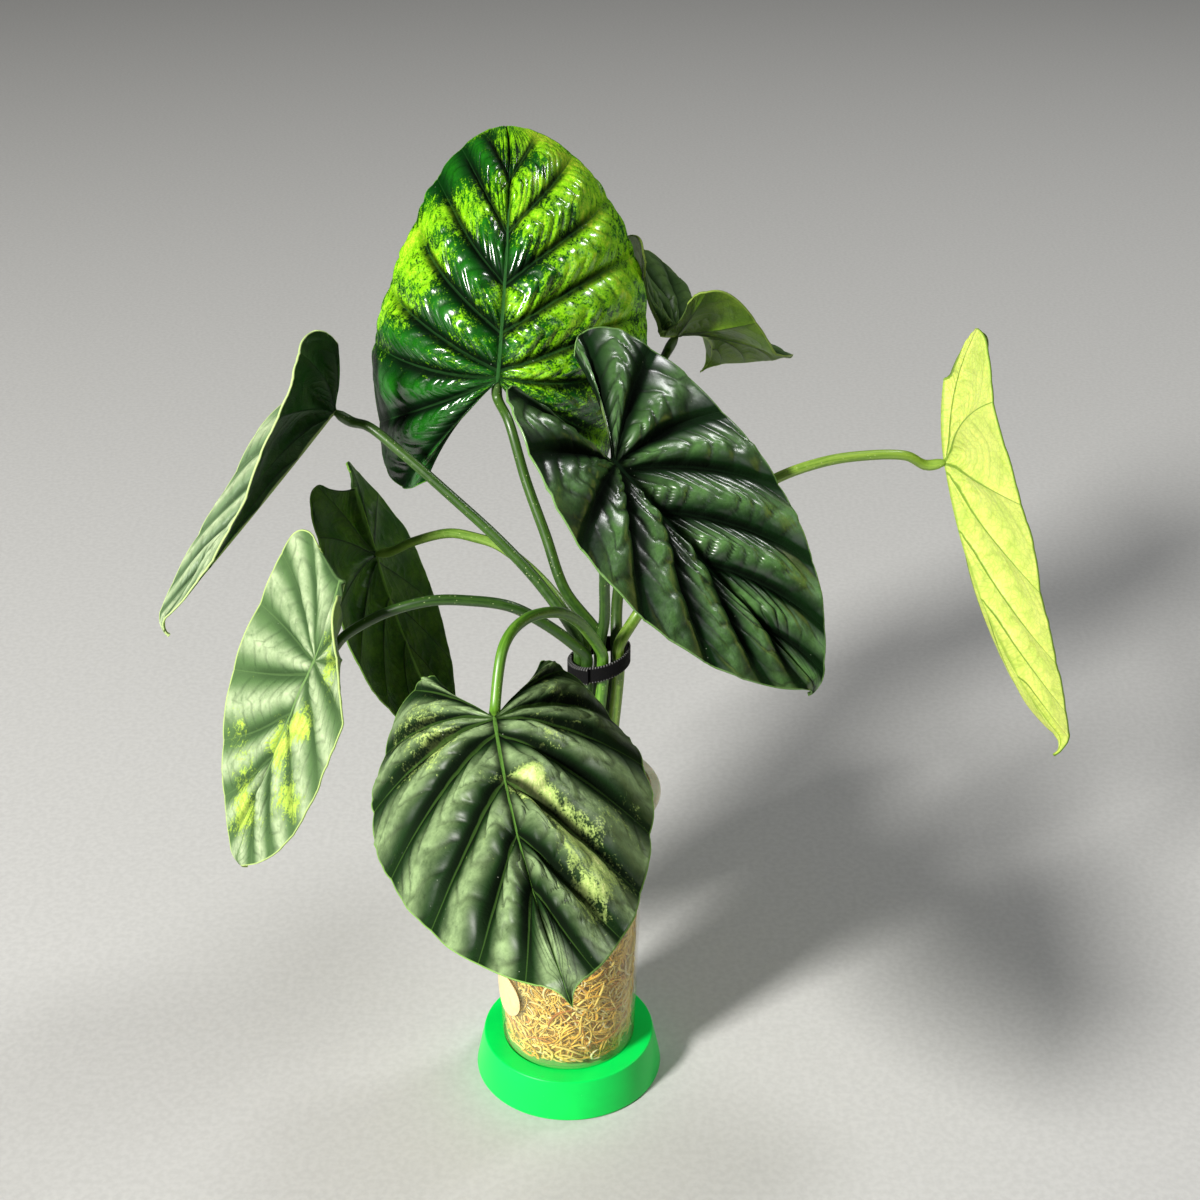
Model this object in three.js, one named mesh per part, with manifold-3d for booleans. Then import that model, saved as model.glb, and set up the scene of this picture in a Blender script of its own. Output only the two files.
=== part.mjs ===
// A variegated alocasia in a clear cup of sphagnum moss, standing in a round green stand.
// Millimetres, +Z up. The origin is the centre of the stand's underside, and -Y is the front.
import * as THREE from 'three';
import { mergeVertices } from 'three/addons/utils/BufferGeometryUtils.js';
import Module from 'manifold-3d';

const wasm = await Module();
wasm.setup();

// Driving dimensions

const SEAT_GAP = 0.3; // clearance between pieces that touch

const STAND = { footRadius: 47, lipRadius: 43, height: 21, dishRadius: 40.5, dishDepth: 2, edge: 1.2 };

const CUP = {
  height: 147,
  footRadius: 33.4,
  cornerRadius: 4,
  topRadius: 38,
  wall: 1.2,
  shoulderHeight: 138,
  shoulderRadius: 41,
  rimRadius: 45,
  rimDrop: 3.2,
};

const MOSS = { depthBelowRim: 9, crown: 3.5, tuft: 1.1, holeDepth: 22, holeRadius: 3.65 };

const STICKER = { radius: 12, thickness: 0.6, lift: 0.45, azimuth: -151, height: 36.5 };

const STRAP = { centre: [16, 0, 236], innerRadius: 13.05, thickness: 1.2, width: 8, tilt: 14 };

// The stalks stand as one in the middle and seven round it, in the moss and again in the strap.
const BUNDLE = { mossCentre: [9, 2], mossRing: 11, strapRing: 9.55 };

const STALK = {
  footRadius: 3.05,
  neckRadius: 2.2,
  sides: 8,
  steps: 22,
  reach: 9, // length of the straight run up to the blade
  clearance: 1.45, // how much the end is cut back from the blade
  headroom: 4,
};

const BLADE = {
  thickness: 0.9,
  rib: 1.1, // how far the midrib stands out below
  veinRib: 0.35, // the same for a side vein
  bulge: 3.1, // height of the quilted pillows between the veins
  sunkenMidrib: 1.3,
  scallop: 0.008, // how far the edge swells between two veins, as a part of its reach
  halfWidth: 0.42, // widest reach from the midrib, as a part of the length
  lobeLength: 0.415, // how far the back lobes reach, as a part of the length
  hookStart: 0.93, // where the drip tip starts to curl
  hook: 75, // how far it curls, in degrees
  rowsPerPillow: 3,
  spineSteps: 40,
};

// The blade's edge from the notch between the lobes to the tip, as parts of the length:
// along the midrib from the stalk, and out to the side.
const EDGE = [
  [-0.375, 0.165], [-0.413, 0.225], [-0.395, 0.3], [-0.31, 0.358], [-0.16, 0.404], [0.03, 0.424],
  [0.25, 0.41], [0.48, 0.352], [0.7, 0.25], [0.86, 0.135], [0.945, 0.05], [0.98, 0.014], [1.02, 0],
];

// The side veins from the notch to the tip: where each leaves the midrib, as a part of the
// length, where it meets the edge, as a part of the edge's run, and how much it bows.
const VEINS = [
  { start: 0, end: 0, bow: -0.05 },
  { start: 0, end: 0.055, bow: 0.02 },
  { start: 0, end: 0.21, bow: 0.05 },
  { start: 0.005, end: 0.4, bow: 0.05 },
  { start: 0.03, end: 0.575, bow: 0.06 },
  { start: 0.21, end: 0.735, bow: 0.07 },
  { start: 0.43, end: 0.865, bow: 0.07 },
  { start: 0.7, end: 0.95, bow: 0.05 },
  { start: 1.02, end: 1, bow: 0 },
];

// Where the mesh has its columns between midrib and edge, as parts of the way.
const COLUMNS = [0, 0.06, 0.24, 0.5, 0.78, 1];

// Each leaf: where stalk and blade meet, the blade's length from there to the tip, its width and
// its lobes against a plain leaf, its heading, pitch and roll, how far its halves fold up (fold)
// and curve on towards the edge (arch), how far the midrib droops and the lobes tip back, the
// blade's twist and sideways sway, and how far the lobes are joined (web). lobeRoll turns the
// lobes about the midrib, tip widens the blade towards its tip, and skew widens its left and its
// right half there. Angles are in degrees.
// lean turns the stalk's end from square to the blade towards the midrib's line. slot is the
// stalk's place round the bundle in degrees, and route lists the stalk's points above the strap.
const LEAVES = [
  {
    name: 'crown', joint: [-31, 58, 351], length: 174, width: 1.19, lobes: 0.81,
    heading: 71, pitch: 74, roll: 17, fold: -6, arch: -61, droop: 87, lobeTilt: -3, twist: -8,
    lobeFold: -13, lobeRoll: 2, sway: 9, web: 0.02, tip: -0.11, skew: [-0.19, 0.11], lean: 0.75, slot: 92,
    route: [[0, 13, 265], [-9, 24, 288], [-18, 36, 310], [-26, 49, 334]],
  },
  {
    name: 'front_right', joint: [23, -15, 342], length: 136, width: 1.06, lobes: 0.9,
    heading: -23, pitch: -45, roll: 10, fold: 12, arch: -3, droop: 2, lobeTilt: 30, twist: 19,
    lobeFold: 7, lobeRoll: 0, sway: 6, web: 0.03, tip: 0, skew: [0, 0], lean: 0.2, slot: null,
    route: [[18, -2, 258], [18, -4, 276], [18, -7, 301], [17, -10, 322]],
  },
  {
    name: 'front', joint: [-27, -105, 269], length: 145, width: 1.14, lobes: 0.89,
    heading: -82, pitch: -13, roll: 8, fold: -18, arch: -31, droop: 1, lobeTilt: 16, twist: 0,
    lobeFold: -11, lobeRoll: -3, sway: 10, web: 0.01, tip: 0, skew: [-0.08, -0.08], lean: 0.65, slot: -83,
    route: [[15, -12, 250], [11, -17, 259], [6, -24, 269], [-3, -38, 281], [-16, -58, 288], [-24, -78, 286]],
  },
  {
    name: 'far_left', joint: [-109, 59, 336], length: 129, width: 0.92, lobes: 0.61,
    heading: 209, pitch: -46, roll: 31, fold: 13, arch: 16, droop: -3, lobeTilt: -64, twist: -30,
    lobeFold: 40, lobeRoll: -18, sway: 12, web: 0.01, tip: -0.18, skew: [-0.15, -0.3], lean: 0.1, slot: 183,
    route: [[4, 2, 249], [-11, 12, 268], [-30, 22, 286], [-53, 33, 304], [-76, 44, 321], [-91, 52, 330]],
  },
  {
    name: 'left', joint: [-112, -26, 250], length: 115, width: 1.06, lobes: 1.04,
    heading: -166, pitch: -64, roll: -15, fold: -7, arch: 25, droop: 7, lobeTilt: -36, twist: -10,
    lobeFold: 15, lobeRoll: 5, sway: 1, web: 0.87, tip: 0, skew: [0, 0], lean: 0.6, slot: -130,
    route: [
      [5, -9, 248], [-8, -11, 260], [-24, -14, 271], [-42, -16, 275], [-59, -18, 276],
      [-79, -20, 271], [-97, -22, 261],
    ],
  },
  {
    name: 'middle_left', joint: [-100, 109, 235], length: 110, width: 1, lobes: 1,
    heading: 140, pitch: -110, roll: -24, fold: 2, arch: -4, droop: 12, lobeTilt: -2, twist: 18,
    lobeFold: 14, lobeRoll: 0, sway: -2, web: 0.78, tip: 0, skew: [0, 0], lean: 0, slot: 138,
    route: [[-8, 27, 259], [-31, 52, 268], [-44, 64, 267], [-57, 75, 264], [-77, 92, 251]],
  },
  {
    name: 'back', joint: [56, 161, 336], length: 129, width: 0.98, lobes: 1.15,
    heading: 64, pitch: -15, roll: 24, fold: 27, arch: -16, droop: 36, lobeTilt: -55, twist: 5,
    lobeFold: 27, lobeRoll: 0, sway: 12, web: 0.4, tip: 0, skew: [0, 0], lean: 0, slot: 38,
    route: [[24, 18, 257], [31, 60, 284], [40, 111, 308], [47, 146, 324]],
  },
  {
    name: 'far_right', joint: [178, 44, 316], length: 153, width: 1.0, lobes: 0.99,
    heading: -63, pitch: -69, roll: -62, fold: 0, arch: 30, droop: -30, lobeTilt: -63, twist: -20,
    lobeFold: 3, lobeRoll: 2, sway: 8, web: 0.59, tip: -0.01, skew: [0.07, -0.09], lean: 0, slot: -27,
    route: [
      [33, 4, 257], [46, 9, 277], [66, 16, 299], [95, 24, 316], [116, 29, 322], [134, 34, 323],
      [156, 39, 321],
    ],
  },
];

const COLOURS = {
  stand: { color: 0x12c25a, roughness: 0.35, metalness: 0 },
  cup: { color: 0xe8e6d8, roughness: 0.3, metalness: 0 },
  moss: { color: 0xb9933f, roughness: 0.95, metalness: 0 },
  sticker: { color: 0xeee6d0, roughness: 0.6, metalness: 0 },
  strap: { color: 0x0b0b0d, roughness: 0.85, metalness: 0 },
  stalk: { color: 0x4f8a24, roughness: 0.45, metalness: 0 },
  blade: { color: 0x2c5a2b, roughness: 0.35, metalness: 0 },
};

const radians = (degrees) => THREE.MathUtils.degToRad(degrees);
const cupFloor = STAND.height - STAND.dishDepth + SEAT_GAP;
const cupRim = cupFloor + CUP.height;
const mossTop = cupRim - MOSS.depthBelowRim;

// Solids: closed meshes that share their corners, and the joins and cuts between them.

function welded(geometry) {
  const bare = geometry.clone();
  bare.deleteAttribute('normal');
  bare.deleteAttribute('uv');
  return mergeVertices(bare, 1e-4);
}

function toSolid(geometry) {
  const whole = welded(geometry);
  const vertProperties = new Float32Array(whole.attributes.position.array);
  const triVerts = new Uint32Array(whole.index.array);
  return new wasm.Manifold(new wasm.Mesh({ numProp: 3, vertProperties, triVerts }));
}

function toGeometry(solid) {
  const mesh = solid.getMesh();
  return meshGeometry(Array.from(mesh.vertProperties), Array.from(mesh.triVerts));
}

function meshGeometry(positions, triangles) {
  const geometry = new THREE.BufferGeometry();
  geometry.setAttribute('position', new THREE.Float32BufferAttribute(positions, 3));
  geometry.setIndex(triangles);
  geometry.computeVertexNormals();
  return geometry;
}

function namedMesh(name, geometry, look) {
  const mesh = new THREE.Mesh(geometry, new THREE.MeshStandardMaterial(look));
  mesh.name = name;
  return mesh;
}

// A solid of revolution about +Z from a profile of [radius, height] points, listed from the
// axis at the bottom, round the outside, back to the axis.
function turned(profile, segments) {
  const points = profile.map(([radius, height]) => new THREE.Vector2(radius, height));
  return welded(new THREE.LatheGeometry(points, segments).rotateX(Math.PI / 2));
}

// Points of a quarter round from one tangent point to the next.
function rounded(centre, radius, fromDegrees, toDegrees, steps) {
  const points = [];
  for (let i = 0; i <= steps; i += 1) {
    const angle = radians(fromDegrees + ((toDegrees - fromDegrees) * i) / steps);
    points.push([centre[0] + radius * Math.cos(angle), centre[1] + radius * Math.sin(angle)]);
  }
  return points;
}

// The blade's shape

const edgeCurve = new THREE.SplineCurve(EDGE.map(([along, out]) => new THREE.Vector2(along, out)));

// Angle of the midrib's line at a place along it, from its direction at the stalk.
function spineAngle(leaf, along) {
  if (along < 0) return -radians(leaf.lobeTilt) * along;
  const hooked = Math.max(0, (along - BLADE.hookStart) / (1 - BLADE.hookStart));
  return -radians(leaf.droop) * along - radians(BLADE.hook) * hooked;
}

// The midrib's line bent in its own upright plane, as [forward, up].
function spinePoint(leaf, along) {
  let forward = 0;
  let up = 0;
  for (let i = 0; i < BLADE.spineSteps; i += 1) {
    const angle = spineAngle(leaf, (along * (i + 0.5)) / BLADE.spineSteps);
    forward += Math.cos(angle) / BLADE.spineSteps;
    up += Math.sin(angle) / BLADE.spineSteps;
  }
  return [forward * along * leaf.length, up * along * leaf.length];
}

// The leaf's own axes: along the midrib, to its left, and out of the upper face.
function leafAxes(leaf) {
  const heading = radians(leaf.heading);
  const pitch = radians(leaf.pitch);
  const roll = radians(leaf.roll);
  const forward = new THREE.Vector3(
    Math.cos(pitch) * Math.cos(heading),
    Math.cos(pitch) * Math.sin(heading),
    Math.sin(pitch),
  );
  const level = new THREE.Vector3(-Math.sin(heading), Math.cos(heading), 0);
  const left = level.applyAxisAngle(forward, roll);
  const up = new THREE.Vector3().crossVectors(forward, left);
  return { forward, left, up };
}

// A point of the blade's middle surface. along and out are parts of the length.
function bladePoint(leaf, axes, along, out) {
  const [spineForward, spineUp] = spinePoint(leaf, along);
  const angle = spineAngle(leaf, along);
  const reach = Math.abs(out) / BLADE.halfWidth;
  const back = Math.max(0, -along / BLADE.halfWidth);
  const lobeFold = leaf.lobeFold + Math.sign(out) * leaf.lobeRoll;
  const fold = radians(leaf.fold + lobeFold * back + (leaf.arch * reach) / 2);
  const twist = radians(leaf.twist) * along;
  const flat = out * leaf.length * Math.cos(fold);
  const raised = Math.abs(out) * leaf.length * Math.sin(fold);
  const sway = (radians(leaf.sway) * leaf.length * Math.max(0, along) ** 2) / 2;
  const side = flat * Math.cos(twist) - raised * Math.sin(twist) + sway;
  const lift = flat * Math.sin(twist) + raised * Math.cos(twist);
  return new THREE.Vector3(...leaf.joint)
    .addScaledVector(axes.forward, spineForward - lift * Math.sin(angle))
    .addScaledVector(axes.left, side)
    .addScaledVector(axes.up, spineUp + lift * Math.cos(angle));
}

// The way out of the blade's upper face. On the midrib it is the mean of both halves.
function bladeNormal(leaf, axes, along, out) {
  const step = 0.004;
  const sides = Math.abs(out) < step ? [step, -step] : [out];
  const normal = new THREE.Vector3();
  for (const side of sides) {
    const ahead = bladePoint(leaf, axes, along + step, side);
    const behind = bladePoint(leaf, axes, along - step, side);
    const left = bladePoint(leaf, axes, along, side + step / 2);
    const right = bladePoint(leaf, axes, along, side - step / 2);
    normal.add(ahead.sub(behind).cross(left.sub(right)).normalize());
  }
  return normal.normalize();
}

// A value between two side veins, for a row that lies a part of the way from one to the next.
function betweenVeins(row, key) {
  const first = Math.min(Math.floor(row), VEINS.length - 2);
  return THREE.MathUtils.lerp(VEINS[first][key], VEINS[first + 1][key], row - first);
}

const pillow = (row) => Math.sin(Math.PI * (row % 1)) ** 0.8;

// A place on the flat blade, as [along, out], for a row that counts the side veins, a part of
// the way from the midrib to the edge, and a side: 1 is the left half and -1 the right one.
function flatPlace(leaf, row, part, side) {
  const notch = -BLADE.lobeLength * leaf.web * Math.max(0, 1 - row);
  const start = new THREE.Vector2(betweenVeins(row, 'start') + notch, 0);
  const end = edgeCurve.getPointAt(betweenVeins(row, 'end'));
  if (end.x < 0) end.x *= leaf.lobes;
  end.y *= leaf.width;
  if (row < VEINS.length - 1) end.lerp(start, -BLADE.scallop * pillow(row));
  const chord = end.clone().sub(start);
  const bow = betweenVeins(row, 'bow') * 4 * part * (1 - part);
  const along = start.x + chord.x * part - chord.y * bow;
  const out = Math.max(0, start.y + chord.y * part + chord.x * bow);
  const skew = side > 0 ? leaf.skew[0] : leaf.skew[1];
  const towardsTip = 1 + leaf.tip * THREE.MathUtils.smoothstep(along, 0.25, 0.95);
  return [along, out * towardsTip * (1 + skew * THREE.MathUtils.smoothstep(along, 0.1, 0.55))];
}

// How far the quilted surface stands above the middle surface, for the same row and part.
function relief(leaf, row, part) {
  const rise = Math.min(1, part / COLUMNS[2]);
  const fall = 1 - 0.6 * THREE.MathUtils.smoothstep(part, 0.7, 1);
  const sunken = BLADE.sunkenMidrib * (1 - THREE.MathUtils.smoothstep(part, 0, COLUMNS[2]));
  return (leaf.length / 140) * (BLADE.bulge * pillow(row) * rise * fall - sunken);
}

// The blade as one closed body. spare thickens it below and at the edge, and headroom above.
function bladeGeometry(leaf, spare, headroom) {
  const axes = leafAxes(leaf);
  const rows = (VEINS.length - 1) * BLADE.rowsPerPillow;
  const places = [];
  const known = new Map();
  const corner = (rowIndex, columnIndex, side) => {
    const row = rowIndex / BLADE.rowsPerPillow;
    const part = COLUMNS[columnIndex];
    const [along, out] = flatPlace(leaf, row, part, side);
    const wider = spare / leaf.length;
    const key = [along, side * out].map((value) => Math.round(value * 1e5)).join(' ');
    if (!known.has(key)) {
      known.set(key, places.length);
      const onVein = rowIndex % BLADE.rowsPerPillow === 0;
      const rib = columnIndex === 0 ? BLADE.rib : (onVein ? BLADE.veinRib : 0) * (1 - part);
      places.push({
        along: along - (rowIndex === 0 ? wider : 0),
        out: side * (out + (part === 1 ? wider : 0)),
        lift: relief(leaf, row, part),
        rib,
      });
    }
    return known.get(key);
  };

  const faces = [];
  for (const side of [1, -1]) {
    for (let i = 0; i < rows; i += 1) {
      for (let j = 0; j < COLUMNS.length - 1; j += 1) {
        const a = corner(i, j, side);
        const b = corner(i + 1, j, side);
        const c = corner(i + 1, j + 1, side);
        const d = corner(i, j + 1, side);
        for (const face of [[a, b, c], [a, c, d]]) {
          if (new Set(face).size < 3) continue;
          faces.push(side > 0 ? face : face.reverse());
        }
      }
    }
  }

  const positions = [];
  for (const topFace of [true, false]) {
    for (const place of places) {
      const point = bladePoint(leaf, axes, place.along, place.out);
      const normal = bladeNormal(leaf, axes, place.along, place.out);
      const offset = topFace ? BLADE.thickness / 2 + headroom : -BLADE.thickness / 2 - spare - place.rib;
      point.addScaledVector(normal, place.lift + offset);
      positions.push(...point.toArray());
    }
  }
  const under = places.length;
  const triangles = [];
  const edges = new Map();
  for (const [a, b, c] of faces) {
    triangles.push(a, b, c, under + a, under + c, under + b);
    for (const [from, to] of [[a, b], [b, c], [c, a]]) {
      if (!edges.delete(`${to} ${from}`)) edges.set(`${from} ${to}`, [from, to]);
    }
  }
  for (const [from, to] of edges.values()) {
    triangles.push(from, under + to, to, from, under + from, under + to);
  }
  return meshGeometry(positions, triangles);
}

// The stalks

function bundlePlace(centre, ring, slot) {
  if (slot === null) return [centre[0], centre[1]];
  return [centre[0] + ring * Math.cos(radians(slot)), centre[1] + ring * Math.sin(radians(slot))];
}

// The stalk's run from the foot of its hole in the moss, through the strap, to the blade.
function stalkPath(leaf) {
  const [mossX, mossY] = bundlePlace(BUNDLE.mossCentre, BUNDLE.mossRing, leaf.slot);
  const [strapX, strapY] = bundlePlace(STRAP.centre, BUNDLE.strapRing, leaf.slot);
  const strapZ = STRAP.centre[2] + (strapX - STRAP.centre[0]) * Math.tan(radians(STRAP.tilt));
  const clearOfStrap = STRAP.width / 2 + STALK.footRadius;
  const { forward, up } = leafAxes(leaf);
  const seat = up.clone().multiplyScalar(1 - leaf.lean).addScaledVector(forward, leaf.lean).normalize();
  const end = new THREE.Vector3(...leaf.joint)
    .addScaledVector(up, relief(leaf, 0, 0) - (BLADE.thickness + BLADE.rib) / 2);
  const points = [
    new THREE.Vector3(mossX, mossY, mossTop - MOSS.holeDepth + SEAT_GAP),
    new THREE.Vector3(mossX, mossY, mossTop - MOSS.holeDepth / 2),
    new THREE.Vector3(mossX, mossY, mossTop + MOSS.crown + 2),
    new THREE.Vector3(strapX, strapY, strapZ - clearOfStrap),
    new THREE.Vector3(strapX, strapY, strapZ),
    new THREE.Vector3(strapX, strapY, strapZ + clearOfStrap),
    ...leaf.route.map((point) => new THREE.Vector3(...point)),
    end.clone().addScaledVector(seat, -STALK.reach),
    end,
  ];
  return new THREE.CatmullRomCurve3(points, false, 'centripetal');
}

// A round stalk that thins towards the blade, closed at both ends.
function stalkTube(leaf) {
  const path = stalkPath(leaf);
  const frames = path.computeFrenetFrames(STALK.steps, false);
  const positions = [];
  for (let i = 0; i <= STALK.steps; i += 1) {
    const centre = path.getPointAt(i / STALK.steps);
    const radius = THREE.MathUtils.lerp(STALK.footRadius, STALK.neckRadius, i / STALK.steps);
    for (let j = 0; j < STALK.sides; j += 1) {
      const angle = (2 * Math.PI * j) / STALK.sides;
      const point = centre.clone()
        .addScaledVector(frames.normals[i], radius * Math.cos(angle))
        .addScaledVector(frames.binormals[i], radius * Math.sin(angle));
      positions.push(...point.toArray());
    }
  }
  const foot = positions.length / 3;
  positions.push(...path.getPointAt(0).toArray(), ...path.getPointAt(1).toArray());
  const triangles = [];
  const last = STALK.steps * STALK.sides;
  for (let j = 0; j < STALK.sides; j += 1) {
    const next = (j + 1) % STALK.sides;
    triangles.push(foot, next, j, foot + 1, last + j, last + next);
    for (let i = 0; i < STALK.steps; i += 1) {
      const a = i * STALK.sides + j;
      const b = i * STALK.sides + next;
      triangles.push(a, b, b + STALK.sides, a, b + STALK.sides, a + STALK.sides);
    }
  }
  return meshGeometry(positions, triangles);
}

// The stalk ends just under its blade, clear of it.
function stalkGeometry(leaf) {
  const { clearance, headroom } = STALK;
  return toGeometry(toSolid(stalkTube(leaf)).subtract(toSolid(bladeGeometry(leaf, clearance, headroom))));
}

// The pot: stand, cup, moss and sticker

function standGeometry() {
  const { footRadius, lipRadius, height, dishRadius, dishDepth, edge } = STAND;
  const profile = [
    [0, 0],
    ...rounded([footRadius - edge, edge], edge, -90, 10, 3),
    ...rounded([lipRadius - edge, height - edge], edge, 10, 90, 3),
    ...rounded([dishRadius - dishDepth, height], dishDepth, 0, -90, 3),
    [0, height - dishDepth],
  ];
  return turned(profile, 40);
}

// The radius of the cup's outer wall at a height above its foot.
function cupRadius(height) {
  return THREE.MathUtils.lerp(CUP.footRadius, CUP.topRadius, height / CUP.shoulderHeight);
}

function cupGeometry() {
  const { cornerRadius, wall, shoulderHeight, shoulderRadius, rimRadius, rimDrop, height } = CUP;
  const inner = cornerRadius - wall;
  const corner = cupRadius(cornerRadius) - cornerRadius;
  const profile = [
    [0, 0],
    ...rounded([corner, cornerRadius], cornerRadius, -90, 0, 4),
    [cupRadius(shoulderHeight), shoulderHeight],
    [shoulderRadius, shoulderHeight + 2],
    [shoulderRadius + 0.3, height - rimDrop],
    [rimRadius, height - rimDrop],
    ...rounded([rimRadius - 1, height - 1], 1, 0, 90, 2),
    [shoulderRadius - wall + 0.3, height],
    [shoulderRadius - wall, shoulderHeight + 2.5],
    [cupRadius(shoulderHeight) - wall, shoulderHeight + 0.5],
    ...rounded([corner, cornerRadius], inner, 0, -90, 4),
    [0, wall],
  ];
  return turned(profile, 36).translate(0, 0, cupFloor);
}

// A lumpy crown of tufts, by a formula.
function tuftHeight(x, y) {
  const low = Math.sin(x * 0.42 + 1.3) * Math.cos(y * 0.37 - 0.4);
  const high = Math.sin(x * 0.91 - y * 0.63) * Math.cos(y * 1.03 + 0.7);
  return MOSS.tuft * (low + 0.6 * high);
}

function mossGeometry() {
  const clear = CUP.wall + SEAT_GAP;
  const corner = cupRadius(CUP.cornerRadius) - CUP.cornerRadius;
  const topRadius = cupRadius(CUP.height - MOSS.depthBelowRim) - clear;
  const profile = [
    [0, clear],
    ...rounded([corner, CUP.cornerRadius], CUP.cornerRadius - clear, -90, 0, 2),
    [topRadius, CUP.height - MOSS.depthBelowRim],
  ];
  for (const part of [0.84, 0.66, 0.48, 0.3, 0.14]) {
    profile.push([topRadius * part, CUP.height - MOSS.depthBelowRim + MOSS.crown * (1 - part ** 2)]);
  }
  profile.push([0, CUP.height - MOSS.depthBelowRim + MOSS.crown]);
  const body = turned(profile, 36).translate(0, 0, cupFloor);
  const place = body.attributes.position;
  for (let i = 0; i < place.count; i += 1) {
    if (place.getZ(i) > mossTop + 0.1) {
      place.setZ(i, place.getZ(i) + tuftHeight(place.getX(i), place.getY(i)));
    }
  }
  let solid = toSolid(body);
  for (const leaf of LEAVES) {
    const depth = MOSS.holeDepth + 2 * MOSS.crown;
    const [x, y] = bundlePlace(BUNDLE.mossCentre, BUNDLE.mossRing, leaf.slot);
    const hole = new THREE.CylinderGeometry(MOSS.holeRadius, MOSS.holeRadius, depth, 10)
      .rotateX(Math.PI / 2)
      .translate(x, y, mossTop - MOSS.holeDepth + depth / 2);
    solid = solid.subtract(toSolid(hole));
  }
  return toGeometry(solid);
}

// A blank round sticker, bent to the cup's wall.
function stickerGeometry() {
  const sides = 20;
  const rings = [0, 0.55, 1];
  const positions = [];
  for (const lift of [STICKER.lift, STICKER.lift + STICKER.thickness]) {
    for (const ring of rings) {
      for (let i = 0; i < (ring ? sides : 1); i += 1) {
        const turn = (2 * Math.PI * i) / sides;
        const height = STICKER.height + STICKER.radius * ring * Math.sin(turn);
        const radius = cupRadius(height) + lift;
        const around = radians(STICKER.azimuth) + (STICKER.radius * ring * Math.cos(turn)) / radius;
        positions.push(radius * Math.cos(around), radius * Math.sin(around), height + cupFloor);
      }
    }
  }
  const layer = 1 + 2 * sides;
  const triangles = [];
  for (let i = 0; i < sides; i += 1) {
    const next = (i + 1) % sides;
    const faces = [
      [0, 1 + i, 1 + next],
      [1 + i, 1 + sides + i, 1 + sides + next],
      [1 + i, 1 + sides + next, 1 + next],
    ];
    for (const [a, b, c] of faces) {
      triangles.push(layer + a, layer + b, layer + c, a, c, b);
    }
    const from = 1 + sides + i;
    const to = 1 + sides + next;
    triangles.push(from, to, layer + to, from, layer + to, layer + from);
  }
  return meshGeometry(positions, triangles);
}

// The strap that gathers the stalks, tipped up to the right.
function strapGeometry() {
  const { innerRadius, thickness, width, tilt, centre } = STRAP;
  const outer = innerRadius + thickness;
  const half = width / 2;
  const edge = 0.3;
  const profile = [
    [innerRadius, -half], [outer - edge, -half], [outer, edge - half], [outer, half - edge],
    [outer - edge, half], [innerRadius, half], [innerRadius, -half],
  ];
  const tipped = new THREE.Matrix4().makeShear(0, Math.tan(radians(tilt)), 0, 0, 0, 0);
  return turned(profile, 30).applyMatrix4(tipped).translate(...centre);
}

// The whole plant

function potted() {
  const group = new THREE.Group();
  group.add(namedMesh('stand', standGeometry(), COLOURS.stand));
  group.add(namedMesh('cup', cupGeometry(), COLOURS.cup));
  group.add(namedMesh('moss', mossGeometry(), COLOURS.moss));
  group.add(namedMesh('sticker', stickerGeometry(), COLOURS.sticker));
  group.add(namedMesh('strap', strapGeometry(), COLOURS.strap));
  for (const leaf of LEAVES) {
    group.add(namedMesh(`${leaf.name}_stalk`, stalkGeometry(leaf), COLOURS.stalk));
    group.add(namedMesh(`${leaf.name}_blade`, bladeGeometry(leaf, 0, 0), COLOURS.blade));
  }
  return group;
}

export default potted();
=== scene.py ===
# A variegated alocasia in a clear cup of sphagnum moss, standing in a round green stand.
# Laid out as an add-on and run as a script. Lengths in the tables are in millimetres.
import math

import bpy
import numpy as np
from bpy.props import FloatProperty, FloatVectorProperty, IntProperty, PointerProperty
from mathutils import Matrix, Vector


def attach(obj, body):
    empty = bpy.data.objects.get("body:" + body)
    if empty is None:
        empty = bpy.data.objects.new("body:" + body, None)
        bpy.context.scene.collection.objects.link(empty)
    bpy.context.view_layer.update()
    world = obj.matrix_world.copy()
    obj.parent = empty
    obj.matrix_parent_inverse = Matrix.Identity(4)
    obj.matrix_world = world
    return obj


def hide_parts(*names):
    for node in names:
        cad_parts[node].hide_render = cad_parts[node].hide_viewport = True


bl_info = {
    "name": "Potted variegated alocasia",
    "version": (1, 0, 0),
    "blender": (4, 5, 0),
    "location": "3D View > Sidebar > Alocasia",
    "description": "Builds a quilted, variegated alocasia in a clear cup of moss",
    "category": "Add Mesh",
}

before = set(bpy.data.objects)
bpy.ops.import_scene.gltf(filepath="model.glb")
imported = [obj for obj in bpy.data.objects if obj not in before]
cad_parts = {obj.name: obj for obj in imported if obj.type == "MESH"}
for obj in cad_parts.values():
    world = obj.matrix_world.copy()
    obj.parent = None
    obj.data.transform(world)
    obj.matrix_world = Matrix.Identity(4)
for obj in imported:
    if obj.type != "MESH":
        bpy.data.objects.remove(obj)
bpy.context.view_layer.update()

MM = 0.001
BODY = "root"

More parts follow.
